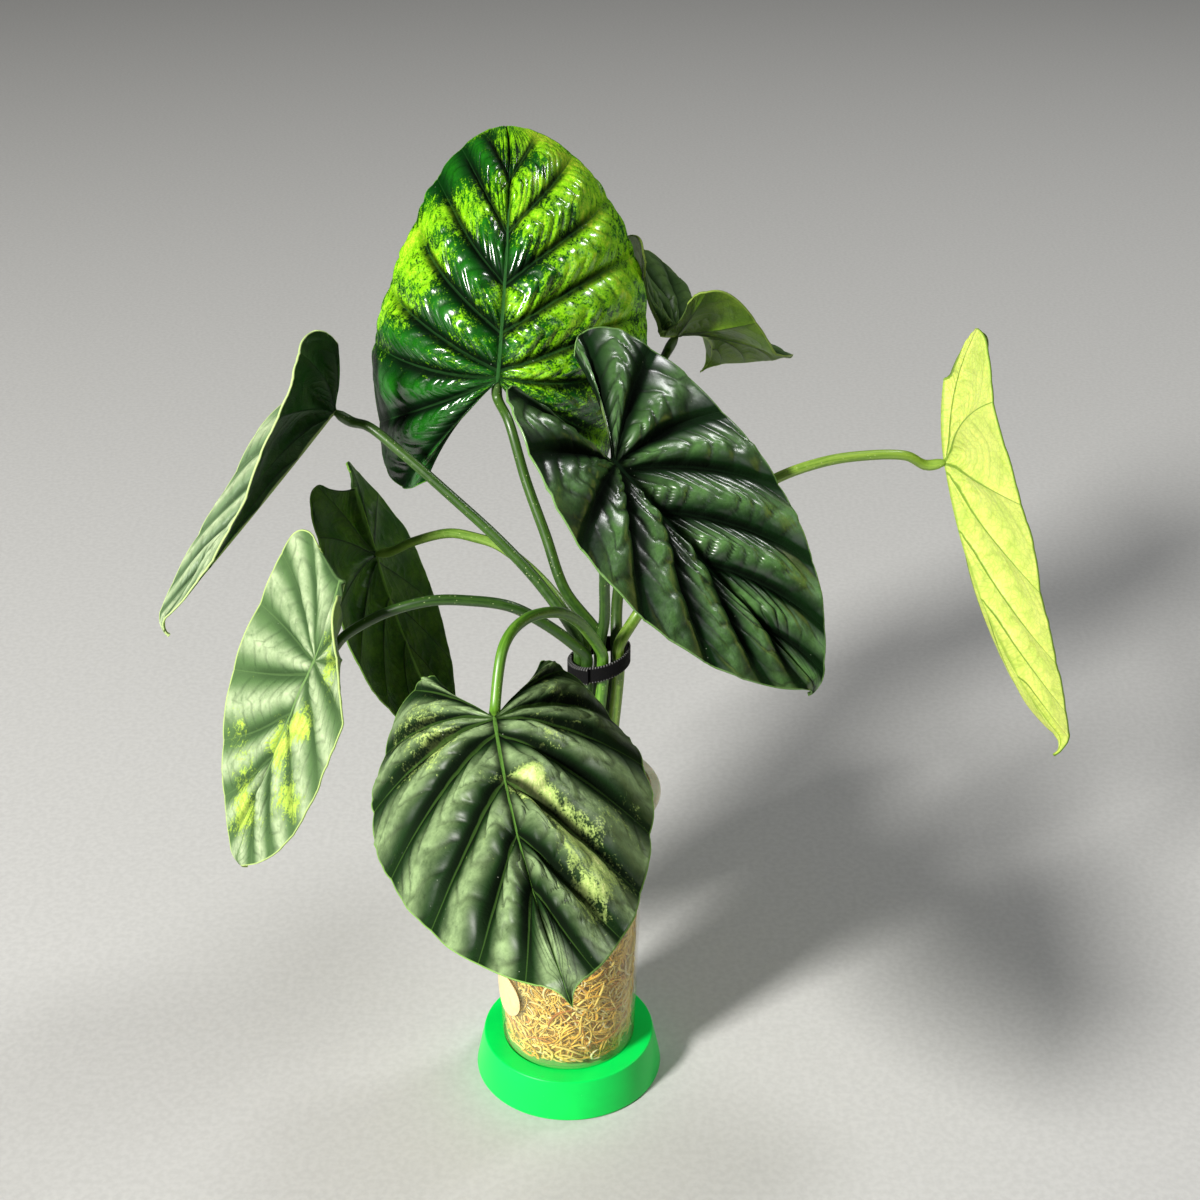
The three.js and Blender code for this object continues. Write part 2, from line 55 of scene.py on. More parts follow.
# The pot
STAND = {"foot": 47.0, "lip": 43.0, "height": 21.0, "dish": 33.2, "depth": 2.0, "edge": 0.9}
SEAT_GAP = 0.3
CUP_FLOOR = STAND["height"] - STAND["depth"] + SEAT_GAP
CUP = {
    "height": 147.0, "foot": 33.4, "corner": 4.0, "top": 38.0, "wall": 1.2,
    "shoulder_height": 138.0, "shoulder": 41.0, "rim": 45.0, "rim_drop": 3.2,
}
MOSS_DROP = 9.0
MOSS_CROWN = 3.5
MOSS_TOP = CUP_FLOOR + CUP["height"] - MOSS_DROP
HOLE_DEPTH = 22.0
STICKER = {
    "radius": 12.0, "thickness": 0.35, "lift": 0.45, "azimuth": -151.0, "height": 36.5, "rings": 8,
}
STRAP = {
    "centre": (16.0, 0.0, 236.0), "inner": 13.05, "thickness": 1.0, "width": 8.0, "tilt": 14.0,
    "turns": 1.22, "start": -190.0, "steps": 150,
}
# Places across the strap, as parts of its width, close together where its edges thin out
STRAP_ACROSS = (-0.5, -0.47, -0.42, 0.42, 0.47, 0.5)
STRAND_POINTS = 9
MOSS_SEED = 41
MOSS_CENTRE = (9.0, 2.0)
MOSS_RING = 11.0
STRAP_RING = 9.55
STALK = {
    "foot": 3.05, "neck": 2.2, "sides": 20, "steps": 150, "reach": 9.0, "swell": 0.35,
    "swell_at": 7.0, "rounding": 3.5,
}

# The blade's outline, as in the part's source: along the midrib and out from it
EDGE = [
    (-0.375, 0.165), (-0.413, 0.225), (-0.395, 0.3), (-0.31, 0.358), (-0.16, 0.404),
    (0.03, 0.424), (0.25, 0.41), (0.48, 0.352), (0.7, 0.25), (0.86, 0.135), (0.945, 0.05),
    (0.98, 0.014), (1.02, 0.0),
]
# Side veins in three layouts: start on the midrib, end on the edge's run, bow
VEINS = {
    "broad": [
        (0.0, 0.0, -0.05), (0.0, 0.055, 0.02), (0.0, 0.21, 0.05), (0.005, 0.4, 0.05),
        (0.03, 0.575, 0.06), (0.21, 0.735, 0.07), (0.43, 0.865, 0.07), (0.7, 0.95, 0.05),
        (1.02, 1.0, 0.0),
    ],
    "close": [
        (0.0, 0.0, -0.05), (0.0, 0.055, 0.02), (0.0, 0.2, 0.04), (0.003, 0.37, 0.05),
        (0.02, 0.53, 0.06), (0.12, 0.665, 0.06), (0.25, 0.765, 0.06), (0.4, 0.855, 0.05),
        (0.58, 0.925, 0.03), (1.02, 1.0, 0.0),
    ],
    "straight": [
        (0.0, 0.0, -0.05), (0.0, 0.055, 0.0), (0.0, 0.19, 0.0), (0.0, 0.345, -0.01),
        (0.06, 0.52, -0.02), (0.24, 0.69, -0.03), (0.44, 0.82, -0.03), (0.63, 0.915, -0.02),
        (1.02, 1.0, 0.0),
    ],
}
HALF_WIDTH = 0.42
LOBE_LENGTH = 0.415
HOOK_START = 0.93
HOOK = 75.0
SCALLOP = 0.004
# Ridges and creases of a blade: height and half width
UPPER_MIDRIB = (0.6, 1.0)
LOWER_MIDRIB = (1.8, 1.5)
LOWER_VEIN = (0.75, 0.9)
CREASE = (0.4, 1.3)
MARGIN = 0.25
# A blade of this length, with pillows of this size, has its relief at full height
FULL_LENGTH = 140.0
FULL_ROW = 14.0
FULL_REACH = 26.0
# Large uneven factors that scatter the values of soft_noise
SCATTER = (127.1, 311.7, 74.7, 43758.5453)
# How finely curves are worked out
SPINE_STEPS = 40
EDGE_STEPS = 200
CURVE_STEPS = 40
SMOOTH_ANGLE = math.radians(40)

# What most leaves share, unless a leaf's own entry says otherwise
COMMON_LEAF = dict(
    veins="broad", tip=0, skew=(0, 0), rise=0.13, quilt=0.8, pucker=1.1, lobe_roll=0, lean=0,
    patches=[],
)

# Each leaf, as in the part's source, with its vein layout and how strongly it is quilted, then
# its finish by name and its patches of variegation: along the midrib and out to the left as
# parts of the length, radius, and amount.
LEAVES = [
    dict(
        name="crown", veins="close", cells=10.5,
        tip=-0.11, skew=(-0.19, 0.11), quilt=0.85, pucker=1.7,
        joint=(-31, 58, 351), length=174, width=1.19, lobes=0.81,
        heading=71, pitch=74, roll=17, fold=-6, arch=-61, droop=87, lobe_tilt=-3, twist=-8,
        lobe_fold=-13, lobe_roll=2, sway=9, web=0.02, lean=0.75, slot=92,
        route=[(0, 13, 265), (-9, 24, 288), (-18, 36, 310), (-26, 49, 334)],
        look="crown", marbling=0.2,
        patches=[
            (0.45, 0.3, 0.22, 0.35), (0.72, 0.14, 0.17, -0.75), (-0.2, 0.28, 0.22, -0.75),
            (0.3, 0.07, 0.12, -0.35), (0.5, -0.22, 0.3, 0.3), (0.85, -0.08, 0.2, 0.35),
            (0.1, -0.3, 0.2, 0.15), (0.35, -0.05, 0.1, -0.3),
        ],
    ),
    dict(
        name="front_right", cells=6.5, rise=0.28, quilt=1.3, pucker=1.5,
        joint=(23, -15, 342), length=136, width=1.06, lobes=0.9,
        heading=-23, pitch=-45, roll=10, fold=12, arch=-3, droop=2, lobe_tilt=30, twist=19,
        lobe_fold=7, sway=6, web=0.03, lean=0.2, slot=None,
        route=[(18, -2, 258), (18, -4, 276), (18, -7, 301), (17, -10, 322)],
        look="satin", marbling=-0.6,
    ),
    dict(
        name="front", veins="straight", cells=5.2,
        skew=(-0.08, -0.08), rise=0.18, quilt=1.3, pucker=1.3,
        joint=(-27, -105, 269), length=145, width=1.14, lobes=0.89,
        heading=-82, pitch=-13, roll=8, fold=-18, arch=-31, droop=1, lobe_tilt=16, twist=0,
        lobe_fold=-11, lobe_roll=-3, sway=10, web=0.01, lean=0.65, slot=-83,
        route=[
            (15, -12, 250), (11, -17, 259), (6, -24, 269), (-3, -38, 281), (-16, -58, 288),
            (-24, -78, 286),
        ],
        look="front", marbling=-0.32,
        patches=[
            (0.26, 0.05, 0.05, 0.9), (0.34, 0.09, 0.06, 1.0), (0.44, 0.14, 0.07, 0.8),
            (0.56, 0.2, 0.1, 0.75), (0.7, 0.14, 0.09, 0.6), (0.33, 0.33, 0.12, 0.42),
            (0.08, 0.14, 0.1, 0.45), (-0.15, 0.22, 0.14, 0.5), (-0.12, -0.25, 0.15, 0.62),
            (0.05, -0.2, 0.1, 0.5),
        ],
    ),
    dict(
        name="far_left", cells=7.5, tip=-0.18, skew=(-0.15, -0.3), quilt=0.9,
        joint=(-109, 59, 336), length=129, width=0.92, lobes=0.61,
        heading=209, pitch=-46, roll=31, fold=13, arch=16, droop=-3, lobe_tilt=-64, twist=-30,
        lobe_fold=40, lobe_roll=-18, sway=12, web=0.01, lean=0.1, slot=183,
        route=[
            (4, 2, 249), (-11, 12, 268), (-30, 22, 286), (-53, 33, 304), (-76, 44, 321),
            (-91, 52, 330),
        ],
        look="silver", marbling=-0.35, patches=[(0.5, 0.2, 0.2, 0.2)],
    ),
    dict(
        name="left", veins="straight", cells=7.0, rise=0.16, quilt=0.75,
        joint=(-112, -26, 250), length=115, width=1.06, lobes=1.04,
        heading=-166, pitch=-64, roll=-15, fold=-7, arch=25, droop=7, lobe_tilt=-36, twist=-10,
        lobe_fold=15, lobe_roll=5, sway=1, web=0.87, lean=0.6, slot=-130,
        route=[
            (5, -9, 248), (-8, -11, 260), (-24, -14, 271), (-42, -16, 275), (-59, -18, 276),
            (-79, -20, 271), (-97, -22, 261),
        ],
        look="pale", marbling=-0.2,
        patches=[
            (-0.08, 0.16, 0.1, 0.8), (0.22, 0.1, 0.1, 0.95), (0.4, 0.03, 0.08, 0.75),
            (0.5, 0.2, 0.12, 0.7), (0.75, -0.06, 0.12, 0.65), (0.1, -0.15, 0.2, -0.4),
            (-0.35, -0.1, 0.14, -0.4), (0.5, -0.25, 0.14, 0.25),
        ],
    ),
    dict(
        name="middle_left", cells=8.0,
        joint=(-100, 109, 235), length=110, width=1, lobes=1,
        heading=140, pitch=-110, roll=-24, fold=2, arch=-4, droop=12, lobe_tilt=-2, twist=18,
        lobe_fold=14, sway=-2, web=0.78, slot=138,
        route=[(-8, 27, 259), (-31, 52, 268), (-44, 64, 267), (-57, 75, 264), (-77, 92, 251)],
        look="shade", marbling=0.0, patches=[(0.3, 0.2, 0.2, 0.3)],
    ),
    dict(
        name="back", cells=8.0,
        joint=(56, 161, 336), length=129, width=0.98, lobes=1.15,
        heading=64, pitch=-15, roll=24, fold=27, arch=-16, droop=36, lobe_tilt=-55, twist=5,
        lobe_fold=27, sway=12, web=0.4, slot=38,
        route=[(24, 18, 257), (31, 60, 284), (40, 111, 308), (47, 146, 324)],
        look="olive", marbling=-0.1,
    ),
    dict(
        name="far_right", cells=8.5, tip=-0.01, skew=(0.07, -0.09),
        joint=(178, 44, 316), length=153, width=1.0, lobes=0.99,
        heading=-63, pitch=-69, roll=-62, fold=0, arch=30, droop=-30, lobe_tilt=-63, twist=-20,
        lobe_fold=3, lobe_roll=2, sway=8, web=0.59, slot=-27,
        route=[
            (33, 4, 257), (46, 9, 277), (66, 16, 299), (95, 24, 316), (116, 29, 322),
            (134, 34, 323), (156, 39, 321),
        ],
        look="lime", marbling=0.0,
    ),
]
LEAVES = [{**COMMON_LEAF, **leaf} for leaf in LEAVES]


def rgb(red, green, blue):
    """A display colour from 0 to 255 as linear values."""
    parts = [value / 255 for value in (red, green, blue)]
    return tuple(v / 12.92 if v <= 0.04045 else ((v + 0.055) / 1.055) ** 2.4 for v in parts)


# What most finishes share, unless a finish's own entry says otherwise
COMMON_LOOK = dict(gloss=0.35, hollow=0.8, spread=1.0, fade=0.6, line=0.4, cross=0.35)

# Colours of each finish: painted shade for the valleys and creases, body, silvery tissue with a
# painted sheen on the tops of the bulges, lime (variegation), cream (its brightest core), under
# (the lower face), under_vein, rib and rim. coat is how much gloss there is and gloss how rough
# it is, and bloom how pale the lower face grows. hollow is how much painted shade darkens the
# valleys, spread how softly it ends and fade what is left of it at the edge. line and cross are
# how strongly side veins and cross veins are drawn, the cross veins in painted shade.
LOOKS = {
    "crown": dict(
        painted_shade=rgb(0, 12, 1), body=rgb(3, 52, 5), silver_and_sheen=rgb(26, 112, 12), lime=rgb(132, 204, 14),
        cream=rgb(206, 236, 58), under=rgb(104, 142, 48), under_vein=rgb(60, 100, 32),
        rib=rgb(44, 92, 40), rim=rgb(96, 164, 44), roughness=0.42, coat=1.0, gloss=0.2,
        bloom=0.35, hollow=0.94, spread=0.95, fade=0.25, line=0.3, cross=0.4,
    ),
    "satin": dict(
        painted_shade=rgb(1, 8, 1), body=rgb(12, 42, 10), silver_and_sheen=rgb(88, 130, 68), lime=rgb(140, 170, 84),
        cream=rgb(190, 205, 130), under=rgb(96, 122, 62), under_vein=rgb(56, 84, 38),
        rib=rgb(26, 52, 28), rim=rgb(116, 158, 84), roughness=0.5, coat=1.0, gloss=0.3,
        bloom=0.3, hollow=0.96, fade=0.45, line=0.15, cross=0.6,
    ),
    "front": dict(
        painted_shade=rgb(4, 14, 3), body=rgb(22, 50, 15), silver_and_sheen=rgb(150, 176, 122), lime=rgb(176, 202, 112),
        cream=rgb(228, 236, 156), under=rgb(110, 136, 70), under_vein=rgb(60, 88, 40),
        rib=rgb(88, 130, 52), rim=rgb(130, 174, 84), roughness=0.5, coat=0.3, gloss=0.4,
        bloom=0.3, hollow=0.95, spread=0.85, fade=0.5, line=0.25, cross=0.5,
    ),
    "silver": dict(
        painted_shade=rgb(32, 52, 30), body=rgb(104, 130, 92), silver_and_sheen=rgb(186, 202, 160),
        lime=rgb(186, 206, 146), cream=rgb(222, 232, 180), under=rgb(10, 56, 4),
        under_vein=rgb(6, 34, 4), rib=rgb(116, 150, 96), rim=rgb(190, 212, 140),
        roughness=0.42, coat=0.15, bloom=0.06, hollow=0.75, line=0.35,
    ),
    "pale": dict(
        painted_shade=rgb(26, 48, 24), body=rgb(84, 114, 68), silver_and_sheen=rgb(182, 200, 156),
        lime=rgb(172, 204, 76), cream=rgb(212, 230, 108), under=rgb(60, 96, 34),
        under_vein=rgb(36, 66, 22), rib=rgb(112, 146, 84), rim=rgb(184, 208, 126),
        roughness=0.42, coat=0.12, bloom=0.3, hollow=0.6, fade=0.4, line=0.2,
    ),
    "shade": dict(
        painted_shade=rgb(14, 34, 12), body=rgb(44, 80, 32), silver_and_sheen=rgb(92, 126, 66), lime=rgb(140, 184, 44),
        cream=rgb(180, 206, 100), under=rgb(34, 76, 6), under_vein=rgb(16, 42, 4),
        rib=rgb(96, 132, 66), rim=rgb(110, 152, 60), roughness=0.4, coat=0.2, bloom=0.2,
    ),
    "olive": dict(
        painted_shade=rgb(20, 40, 12), body=rgb(52, 84, 34), silver_and_sheen=rgb(96, 128, 66), lime=rgb(150, 180, 60),
        cream=rgb(200, 214, 120), under=rgb(66, 98, 12), under_vein=rgb(32, 52, 8),
        rib=rgb(110, 136, 66), rim=rgb(136, 160, 70), roughness=0.45, coat=0.15, bloom=0.25,
    ),
    "lime": dict(
        painted_shade=rgb(16, 36, 10), body=rgb(50, 86, 30), silver_and_sheen=rgb(96, 132, 64), lime=rgb(156, 190, 70),
        cream=rgb(220, 230, 140), under=rgb(208, 218, 112), under_vein=rgb(104, 138, 44),
        rib=rgb(150, 180, 90), rim=rgb(130, 164, 56), roughness=0.42, coat=0.15, bloom=0.45,
    ),
}
LOOKS = {name: {**COMMON_LOOK, **look} for name, look in LOOKS.items()}


# Settings shown in the sidebar


class PotSettings(bpy.types.PropertyGroup):
    """Colours of the pot, and how finely it and its moss are made."""

    stand_colour: FloatVectorProperty(
        name="Stand colour", description="Colour of the round plastic stand",
        subtype="COLOR", size=3, min=0, max=1, default=rgb(0, 226, 88),
    )
    strap_colour: FloatVectorProperty(
        name="Strap colour", description="Colour of the woven strap",
        subtype="COLOR", size=3, min=0, max=1, default=rgb(12, 12, 13),
    )
    sticker_colour: FloatVectorProperty(
        name="Sticker colour", description="Colour of the blank paper sticker",
        subtype="COLOR", size=3, min=0, max=1, default=rgb(234, 214, 164),
    )
    wall_strands: IntProperty(
        name="Moss against the wall", description="Strands of moss pressed against the cup",
        default=3600, min=100, max=4000,
    )
    top_strands: IntProperty(
        name="Moss on top", description="Strands of moss that stand up in the mouth",
        default=900, min=50, max=1500,
    )
    segments: IntProperty(
        name="Round segments", description="Sides of the turned pieces",
        default=128, min=24, max=256,
    )


class LeafSettings(bpy.types.PropertyGroup):
    """Sizes of the blades, and how fine their grid is."""

    thickness: FloatProperty(
        name="Blade thickness", description="Thickness between the veins",
        default=0.65 * MM, min=0.3 * MM, max=1.0 * MM, precision=5, unit="LENGTH",
    )
    bulge: FloatProperty(
        name="Bulge", description="Height of the pillows between the side veins",
        default=4.3 * MM, min=0, max=6 * MM, precision=5, unit="LENGTH",
    )
    pucker: FloatProperty(
        name="Pucker", description="Height of the small swellings between the cross veins",
        default=0.95 * MM, min=0, max=2 * MM, precision=5, unit="LENGTH",
    )
    groove: FloatProperty(
        name="Midrib groove", description="How deep the midrib lies on the upper face",
        default=1.3 * MM, min=0, max=3 * MM, precision=5, unit="LENGTH",
    )
    rows: IntProperty(
        name="Rows", description="Grid rows between two side veins", default=20, min=4, max=24,
    )
    columns: IntProperty(
        name="Columns", description="Grid columns from midrib to edge", default=72, min=8, max=90,
    )


class StageSettings(bpy.types.PropertyGroup):
    """Camera and lights."""

    camera_place: FloatVectorProperty(
        name="Camera place", description="Where the camera stands",
        subtype="TRANSLATION", unit="LENGTH", size=3, default=(0.016, -0.801, 0.691),
    )
    camera_tilt: FloatProperty(
        name="Camera tilt", description="Turn of the camera up from straight down",
        subtype="ANGLE", unit="ROTATION", default=math.radians(62.1),
    )
    lens: FloatProperty(
        name="Lens", description="Focal length on a 36 mm sensor, in millimetres",
        default=60, min=10, max=200,
    )
    key: FloatProperty(
        name="Key light", description="Power of the light from the left, in watts",
        default=200, min=0, max=500,
    )
    fill: FloatProperty(
        name="Fill light", description="Power of the light from the right, in watts",
        default=4, min=0, max=500,
    )
    back: FloatProperty(
        name="Back light", description="Power of the light from the right and behind, in watts",
        default=34, min=0, max=500,
    )
    sky: FloatProperty(
        name="Room light", description="Strength of the light from all round",
        default=0.07, min=0, max=5,
    )


# Node trees


class Graph:
    """Adds nodes to a shader tree and joins them by value."""

    def __init__(self, tree):
        self.tree = tree

    def node(self, kind, **settings):
        made = self.tree.nodes.new(kind)
        for key, value in settings.items():
            setattr(made, key, value)
        return made

    def put(self, value, socket):
        if isinstance(value, bpy.types.NodeSocket):
            self.tree.links.new(value, socket)
        elif value is not None:
            is_colour = socket.type == "RGBA" and len(value) == 3
            socket.default_value = (*value, 1.0) if is_colour else value

    def math(self, operation, first, second=None, third=None):
        made = self.node("ShaderNodeMath", operation=operation)
        for value, socket in zip((first, second, third), made.inputs):
            self.put(value, socket)
        return made.outputs[0]

    def add(self, first, second):
        return self.math("ADD", first, second)

    def times(self, first, second):
        return self.math("MULTIPLY", first, second)

    def wire(self, node, **values):
        """Joins values to a node's inputs. A low line in a name stands for a space."""
        for key, value in values.items():
            self.put(value, node.inputs[key.replace("_", " ")])
        return node

    def step(self, low, high, value, start=0.0, end=1.0):
        """A smooth step from start to end as value goes from low to high."""
        made = self.node("ShaderNodeMapRange", interpolation_type="SMOOTHSTEP")
        self.wire(made, Value=value, From_Min=low, From_Max=high, To_Min=start, To_Max=end)
        return made.outputs["Result"]

    def noise(self, vector, scale, detail=3.0, roughness=0.5, distortion=0.0):
        made = self.wire(
            self.node("ShaderNodeTexNoise"), Vector=vector, Scale=scale, Detail=detail,
            Roughness=roughness, Distortion=distortion,
        )
        return made.outputs["Fac"]

    def mix(self, first, second, factor):
        """Goes from the first colour to the second as factor goes from 0 to 1."""
        made = self.node("ShaderNodeMix", data_type="RGBA")
        self.put(factor, made.inputs[0])
        self.put(first, made.inputs[6])
        self.put(second, made.inputs[7])
        return made.outputs[2]

    def layered(self, colour, *layers):
        """Lays each (colour, mask, amount) over what is before it."""
        for over, mask, amount in layers:
            colour = self.mix(colour, over, self.times(mask, amount))
        return colour

    def attribute(self, name, output="Vector"):
        made = self.node("ShaderNodeAttribute", attribute_name=name, attribute_type="GEOMETRY")
        return made.outputs[output]

    def object_place(self):
        return self.node("ShaderNodeTexCoord").outputs["Object"]

    def facing(self, blend):
        """Goes up to 1 where a face turns away from the eye."""
        return self.wire(self.node("ShaderNodeLayerWeight"), Blend=blend).outputs["Facing"]

    def parts(self, vector):
        made = self.node("ShaderNodeSeparateXYZ")
        self.put(vector, made.inputs[0])
        return made.outputs

    def vector(self, x, y, z):
        made = self.node("ShaderNodeCombineXYZ")
        for value, socket in zip((x, y, z), made.inputs):
            self.put(value, socket)
        return made.outputs[0]

    def bump(self, height, strength, distance, normal=None):
        made = self.wire(
            self.node("ShaderNodeBump"), Height=height, Strength=strength, Distance=distance,
            Normal=normal,
        )
        return made.outputs["Normal"]


def new_material(name, **constants):
    """A material with a Principled shader. constants are set on the shader's own sockets."""
    material = bpy.data.materials.new(name)
    material.use_nodes = True
    graph = Graph(material.node_tree)
    shader = next(n for n in material.node_tree.nodes if n.type == "BSDF_PRINCIPLED")
    graph.wire(shader, **constants)
    return material, graph, shader


def new_group(name, inputs, outputs):
    """A node group with named sockets. inputs are (name, kind, default)."""
    tree = bpy.data.node_groups.new(name, "ShaderNodeTree")
    for label, kind, default in inputs:
        socket = tree.interface.new_socket(label, in_out="INPUT", socket_type=kind)
        if default is not None:
            socket.default_value = default
    for label, kind in outputs:
        tree.interface.new_socket(label, in_out="OUTPUT", socket_type=kind)
    graph = Graph(tree)
    entry = graph.node("NodeGroupInput").outputs
    leave = graph.node("NodeGroupOutput").inputs
    return graph, entry, leave


def use_group(graph, name, **values):
    made = graph.node("ShaderNodeGroup")
    made.node_tree = bpy.data.node_groups[name]
    return graph.wire(made, **values).outputs


NUMBER = "NodeSocketFloat"
COLOUR = "NodeSocketColor"
VECTOR = "NodeSocketVector"


def leaf_veins_group():
    """Distances to the veins, midrib and edge, as masks. Place, Size and Flat are attributes."""
    graph, entry, leave = new_group(
        "Leaf veins",
        [("Place", VECTOR, None), ("Size", VECTOR, None), ("Flat", VECTOR, None)],
        [(label, NUMBER) for label in ("Vein", "Hollow", "Midrib", "Rim", "Crest", "Cross", "Net")],
    )
    row, part, _ = graph.parts(entry["Place"])
    row_mm, reach_mm, _ = graph.parts(entry["Size"])
    flat_along, flat_out, phase = graph.parts(entry["Flat"])
    shifted = graph.math("FRACT", graph.add(row, 0.5))
    aside = graph.math("ABSOLUTE", graph.add(shifted, -0.5))
    vein_mm = graph.times(aside, row_mm)
    width = graph.step(0.0, 1.0, part, 0.55, 0.22)
    over = graph.math("DIVIDE", vein_mm, width)
    graph.put(graph.step(0.8, 1.6, over, 1.0, 0.0), leave["Vein"])
    out_mm = graph.times(part, reach_mm)
    crowded = graph.math("MAXIMUM", graph.math("DIVIDE", 18.0, row_mm), 1.0)
    # Hollow marks the valleys along the side veins and the midrib, which the upper face darkens with
    # painted shade.
    valley = graph.step(0.2, 6.2, graph.times(vein_mm, crowded), 1.0, 0.0)
    slim = graph.math("MAXIMUM", graph.math("DIVIDE", 36.0, reach_mm), 1.0)
    trough = graph.step(0.5, 5.5, graph.times(out_mm, slim), 0.75, 0.0)
    graph.put(graph.math("MAXIMUM", valley, trough), leave["Hollow"])
    graph.put(graph.step(0.7, 1.2, out_mm, 1.0, 0.0), leave["Midrib"])
    edge_mm = graph.times(graph.math("SUBTRACT", 1.0, part), reach_mm)
    graph.put(graph.step(0.25, 0.75, edge_mm, 1.0, 0.0), leave["Rim"])
    # Crest marks the middle of each pillow, where the upper face gets silvery tissue and a painted
    # sheen.
    graph.put(graph.step(0.12, 0.5, aside), leave["Crest"])
    cross = graph.math("ABSOLUTE", graph.add(graph.math("FRACT", phase), -0.5))
    inside = graph.step(0.03, 0.16, aside)
    line = graph.step(0.3, 0.5, cross)
    graph.put(graph.times(line, inside), leave["Cross"])
    cells = graph.node("ShaderNodeTexVoronoi", feature="DISTANCE_TO_EDGE")
    graph.wire(cells, Vector=graph.vector(flat_along, flat_out, 0.0), Scale=380.0)
    graph.put(graph.step(0.02, 0.14, cells.outputs["Distance"], 1.0, 0.0), leave["Net"])


def variegation_group():
    """Patches, streaks and specks of light tissue, as two masks."""
    graph, entry, leave = new_group(
        "Variegation",
        [("Place", VECTOR, None), ("Size", VECTOR, None), ("Flat", VECTOR, None),
         ("Amount", NUMBER, 0.0)],
        [("Lime", NUMBER), ("Cream", NUMBER)],
    )
    row, part, field = graph.parts(entry["Place"])
    reach_mm = graph.parts(entry["Size"])[1]
    along, out, _ = graph.parts(entry["Flat"])
    flat = graph.vector(along, out, 0.0)
    streak = graph.vector(
        graph.times(graph.times(part, reach_mm), 0.0011), graph.times(row, 0.034), out
    )
    big = graph.noise(flat, 42.0, 2.0, 0.5, 0.4)
    middle = graph.noise(streak, 230.0, 5.0, 0.68, 0.5)
    fine = graph.noise(flat, 1050.0, 3.0, 0.7)
    total = graph.times(big, 0.85)
    wanted = graph.add(field, entry["Amount"])
    for value, weight in ((middle, 1.05), (fine, 0.75), (wanted, 0.62)):
        total = graph.add(total, graph.times(value, weight))
    graph.put(graph.step(1.42, 1.62, total), leave["Lime"])
    graph.put(graph.step(1.62, 1.95, total), leave["Cream"])


def speckle_group():
    """Sparse light specks, such as dust or pores."""
    graph, entry, leave = new_group(
        "Specks",
        [("Vector", VECTOR, None), ("Scale", NUMBER, 500.0), ("Size", NUMBER, 0.2)],
        [("Mask", NUMBER)],
    )
    cells = graph.node("ShaderNodeTexVoronoi", feature="F1")
    graph.wire(cells, Vector=entry["Vector"], Scale=entry["Scale"])
    chosen = graph.step(0.72, 0.8, graph.parts(cells.outputs["Color"])[0])
    core = graph.times(entry["Size"], 0.5)
    near = graph.step(core, entry["Size"], cells.outputs["Distance"], 1.0, 0.0)
    graph.put(graph.times(chosen, near), leave["Mask"])


def mottle_group():
    """Soft colour drift between two shades."""
    graph, entry, leave = new_group(
        "Mottle",
        [("Vector", VECTOR, None), ("Scale", NUMBER, 40.0), ("Light", COLOUR, None),
         ("Dark", COLOUR, None)],
        [("Color", COLOUR), ("Height", NUMBER)],
    )
    drift = graph.noise(entry["Vector"], entry["Scale"], 4.0, 0.6, 0.2)
    graph.put(graph.mix(entry["Dark"], entry["Light"], graph.step(0.3, 0.7, drift)), leave["Color"])
    graph.put(drift, leave["Height"])


def build_groups():
    for make in (leaf_veins_group, variegation_group, speckle_group, mottle_group):
        make()


# Meshes


def select_only(piece):
    bpy.ops.object.select_all(action="DESELECT")
    piece.select_set(True)
    bpy.context.view_layer.objects.active = piece


def turn_faces_out(piece):
    select_only(piece)
    bpy.ops.object.mode_set(mode="EDIT")
    bpy.ops.mesh.select_all(action="SELECT")
    bpy.ops.mesh.normals_make_consistent(inside=False)
    bpy.ops.object.mode_set(mode="OBJECT")


def new_piece(name, vertices, faces, edges=()):
    """A smooth mesh object from points in millimetres, with its place in its mesh."""
    mesh = bpy.data.meshes.new(name)
    points = np.asarray(vertices, dtype=float) * MM
    mesh.from_pydata(points.tolist(), list(edges), [list(face) for face in faces])
    mesh.validate()
    piece = bpy.data.objects.new(name, mesh)
    bpy.context.scene.collection.objects.link(piece)
    mesh.polygons.foreach_set("use_smooth", [True] * len(mesh.polygons))
    return piece


def point_attribute(mesh, name, values):
    """Stores a vector or a number for each vertex."""
    values = np.asarray(values, dtype=np.float32)
    if values.ndim == 1:
        mesh.attributes.new(name, "FLOAT", "POINT").data.foreach_set("value", values)
    else:
        data = mesh.attributes.new(name, "FLOAT_VECTOR", "POINT").data
        data.foreach_set("vector", values.ravel())


def turned_piece(name, profile, segments):
    """Spins a profile of (radius, height) points, in millimetres, about the upright axis."""
    points = [(radius, 0.0, height) for radius, height in profile]
    piece = new_piece(name, points, [], [(i, i + 1) for i in range(len(points) - 1)])
    select_only(piece)
    bpy.ops.object.mode_set(mode="EDIT")
    bpy.ops.mesh.select_all(action="SELECT")
    bpy.ops.mesh.spin(steps=segments, angle=2 * math.pi, center=(0, 0, 0), axis=(0, 0, 1))
    bpy.ops.mesh.select_all(action="SELECT")
    bpy.ops.mesh.remove_doubles(threshold=0.01 * MM)
    bpy.ops.object.mode_set(mode="OBJECT")
    turn_faces_out(piece)
    bpy.ops.object.shade_smooth_by_angle(angle=SMOOTH_ANGLE)
    return piece


def rounded(centre, radius, start, stop, steps):
    """Points of a round from one angle to another, in degrees."""
    angles = [math.radians(start + (stop - start) * i / steps) for i in range(steps + 1)]
    return [
        (centre[0] + radius * math.cos(a), centre[1] + radius * math.sin(a)) for a in angles
    ]


def finish_piece(piece, materials, slot, *nodes):
    for material in materials:
        piece.data.materials.append(material)
    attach(piece, BODY)
    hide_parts(*nodes)


# The blade's surface


